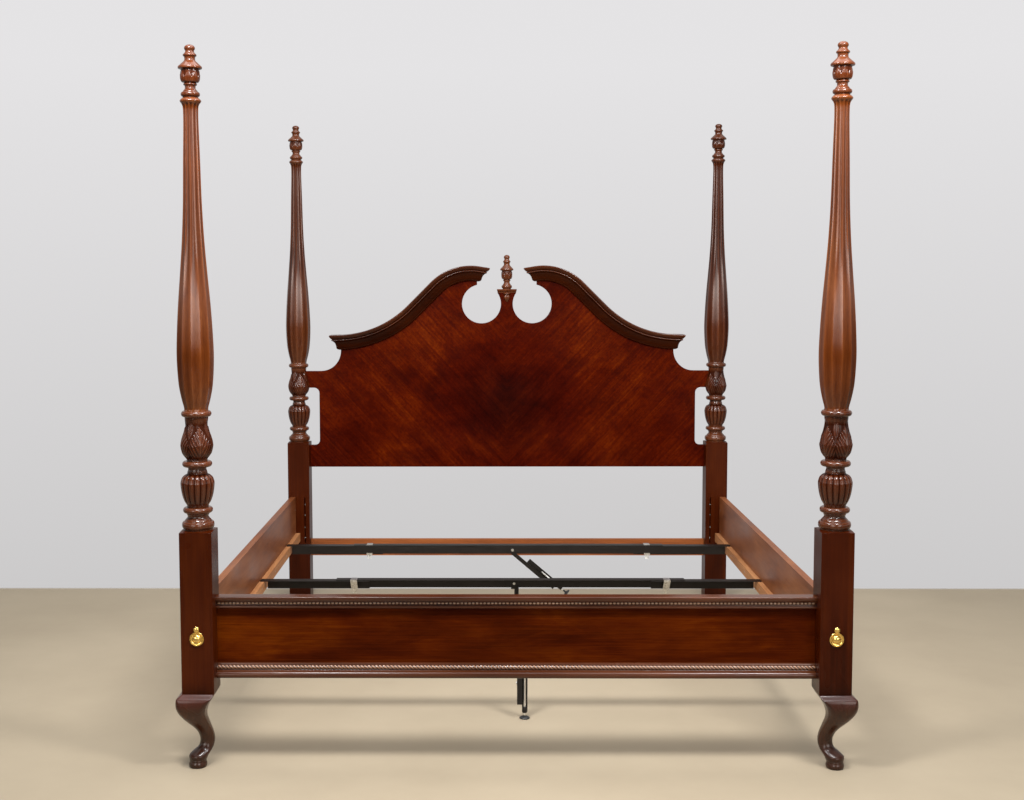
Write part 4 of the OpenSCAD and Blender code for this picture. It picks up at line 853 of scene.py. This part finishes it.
# Bolt covers.
# Stamped and polished brass discs with a rolled rim and a domed middle. Each hangs by its ear from a
# button headed pin in the foot post and can be swung aside.
brass = mottled("polished_brass", 0.16, (160, 160, 160), 5, 0.6,
                [(0.3, (0.55, 0.36, 0.09)), (0.6, (0.80, 0.56, 0.18))], [(0.3, 0.24), (0.65, 0.13)], 1.0)
for side in ("left", "right"):
    keep("bolt_cover_" + side, brass)
keep("cover_pivots", brass)

# The room.
# A pale floor that ends at a paler wall, soft lamps over the foot of the bed, and the camera. These
# aren't part of the bed.
floor_half = 9
floor_end = 1.30
floor_paint = mottled("floor_paint", 0.55, (1.3, 1.3, 1.3), 5, 0.6,
                      [(0.3, (0.385, 0.315, 0.222)), (0.7, (0.445, 0.368, 0.262))], specular=0.2)
nodes, links = tree(floor_paint)
depth = parts(nodes, links, spot(nodes))[1]
fade = nodes.new("ShaderNodeMixShader")
links.new(between(nodes, links, depth, floor_end - 0.04, floor_end - 0.01), fade.inputs[0])
links.new(nodes["Principled BSDF"].outputs[0], fade.inputs[1])
links.new(nodes.new("ShaderNodeBsdfTransparent").outputs[0], fade.inputs[2])
links.new(fade.outputs[0], nodes["Material Output"].inputs[0])
mesh = bpy.data.meshes.new("floor")
mesh.from_pydata([(-floor_half, -floor_half, 0), (floor_half, -floor_half, 0), (floor_half, floor_end, 0),
                  (-floor_half, floor_end, 0)], [], [(0, 1, 2, 3)])
mesh.materials.append(floor_paint)
floor = bpy.data.objects.new("floor", mesh)
bpy.context.scene.collection.objects.link(floor)


def lamp(name, at, aim, size, watts):
    """A round soft lamp, turned towards a point of the bed."""
    light = bpy.data.lights.new(name, "AREA")
    light.shape, light.size, light.energy = "DISK", size, watts
    made = bpy.data.objects.new(name, light)
    made.location = at
    made.rotation_euler = (Vector(aim) - Vector(at)).to_track_quat("-Z", "Y").to_euler()
    bpy.context.scene.collection.objects.link(made)


lamp("left_lamp", (-0.9, -2.05, 2.9), (-0.2, 0.4, 0.6), 0.7, 62)
lamp("right_lamp", (1.2, -2.15, 2.9), (0.3, 0.4, 0.6), 0.7, 62)
lamp("ceiling", (0, -1.0, 4.2), (0, 0.2, 0), 4.5, 150)
world = bpy.data.worlds.new("room")
bpy.context.scene.world = world
world.use_nodes = True
nodes, links = tree(world)
x, y, z = parts(nodes, links, nodes.new("ShaderNodeTexCoord").outputs["Generated"])
# Painted shade: the wall behind the bed is painted darker towards the bottom.
wall = ramp(nodes, links, between(nodes, links, z, -0.25, 0.15),
            [(0.0, (0.585, 0.575, 0.575)), (1.0, (0.78, 0.77, 0.78))])
# What polish mirrors: a dark floor, a bright zone low on the left and on the right, a dim ceiling
# and, behind the headboard, the pale wall.
around = ramp(nodes, links, z, [
    (0.0, (0.01, 0.01, 0.01)), (0.03, (0.5, 0.47, 0.44)), (0.10, (9.0, 8.5, 7.9)),
    (0.22, (8.0, 7.6, 7.1)), (0.40, (1.1, 1.07, 1.03))])
across = ramp(nodes, links, between(nodes, links, x, -1, 1),
              [(0.17, 0.12), (0.25, 1.0), (0.34, 1.0), (0.43, 0.10),
               (0.56, 0.10), (0.65, 1.0), (0.74, 1.0), (0.82, 0.12)])
around = mix(nodes, links, around, across, 1.0, "MULTIPLY")
around = mix(nodes, links, around, (0.52, 0.50, 0.49), between(nodes, links, y, 0.15, 0.75))
rays = nodes.new("ShaderNodeLightPath")
glossy = nodes.new("ShaderNodeMath")
glossy.operation = "MAXIMUM"
links.new(rays.outputs["Is Glossy Ray"], glossy.inputs[0])
links.new(rays.outputs["Is Transmission Ray"], glossy.inputs[1])
seen = mix(nodes, links, (0.26, 0.27, 0.285), around, glossy.outputs[0])
seen = mix(nodes, links, seen, wall, rays.outputs["Is Camera Ray"])
links.new(seen, nodes["Background"].inputs["Color"])
nodes["Background"].inputs["Strength"].default_value = 1.0
bpy.context.scene.view_settings.view_transform = "Standard"
camera = bpy.data.objects.new("camera", bpy.data.cameras.new("camera"))
camera.data.sensor_width = 36
camera.data.lens = 46.78
camera.data.shift_x, camera.data.shift_y = 0.0384, -0.0224
camera.location = (-0.0734, -5.1371, 1.5287)
camera.rotation_euler = (math.radians(85.620), math.radians(0.1545), math.radians(0.792))
bpy.context.scene.collection.objects.link(camera)
bpy.context.scene.camera = camera
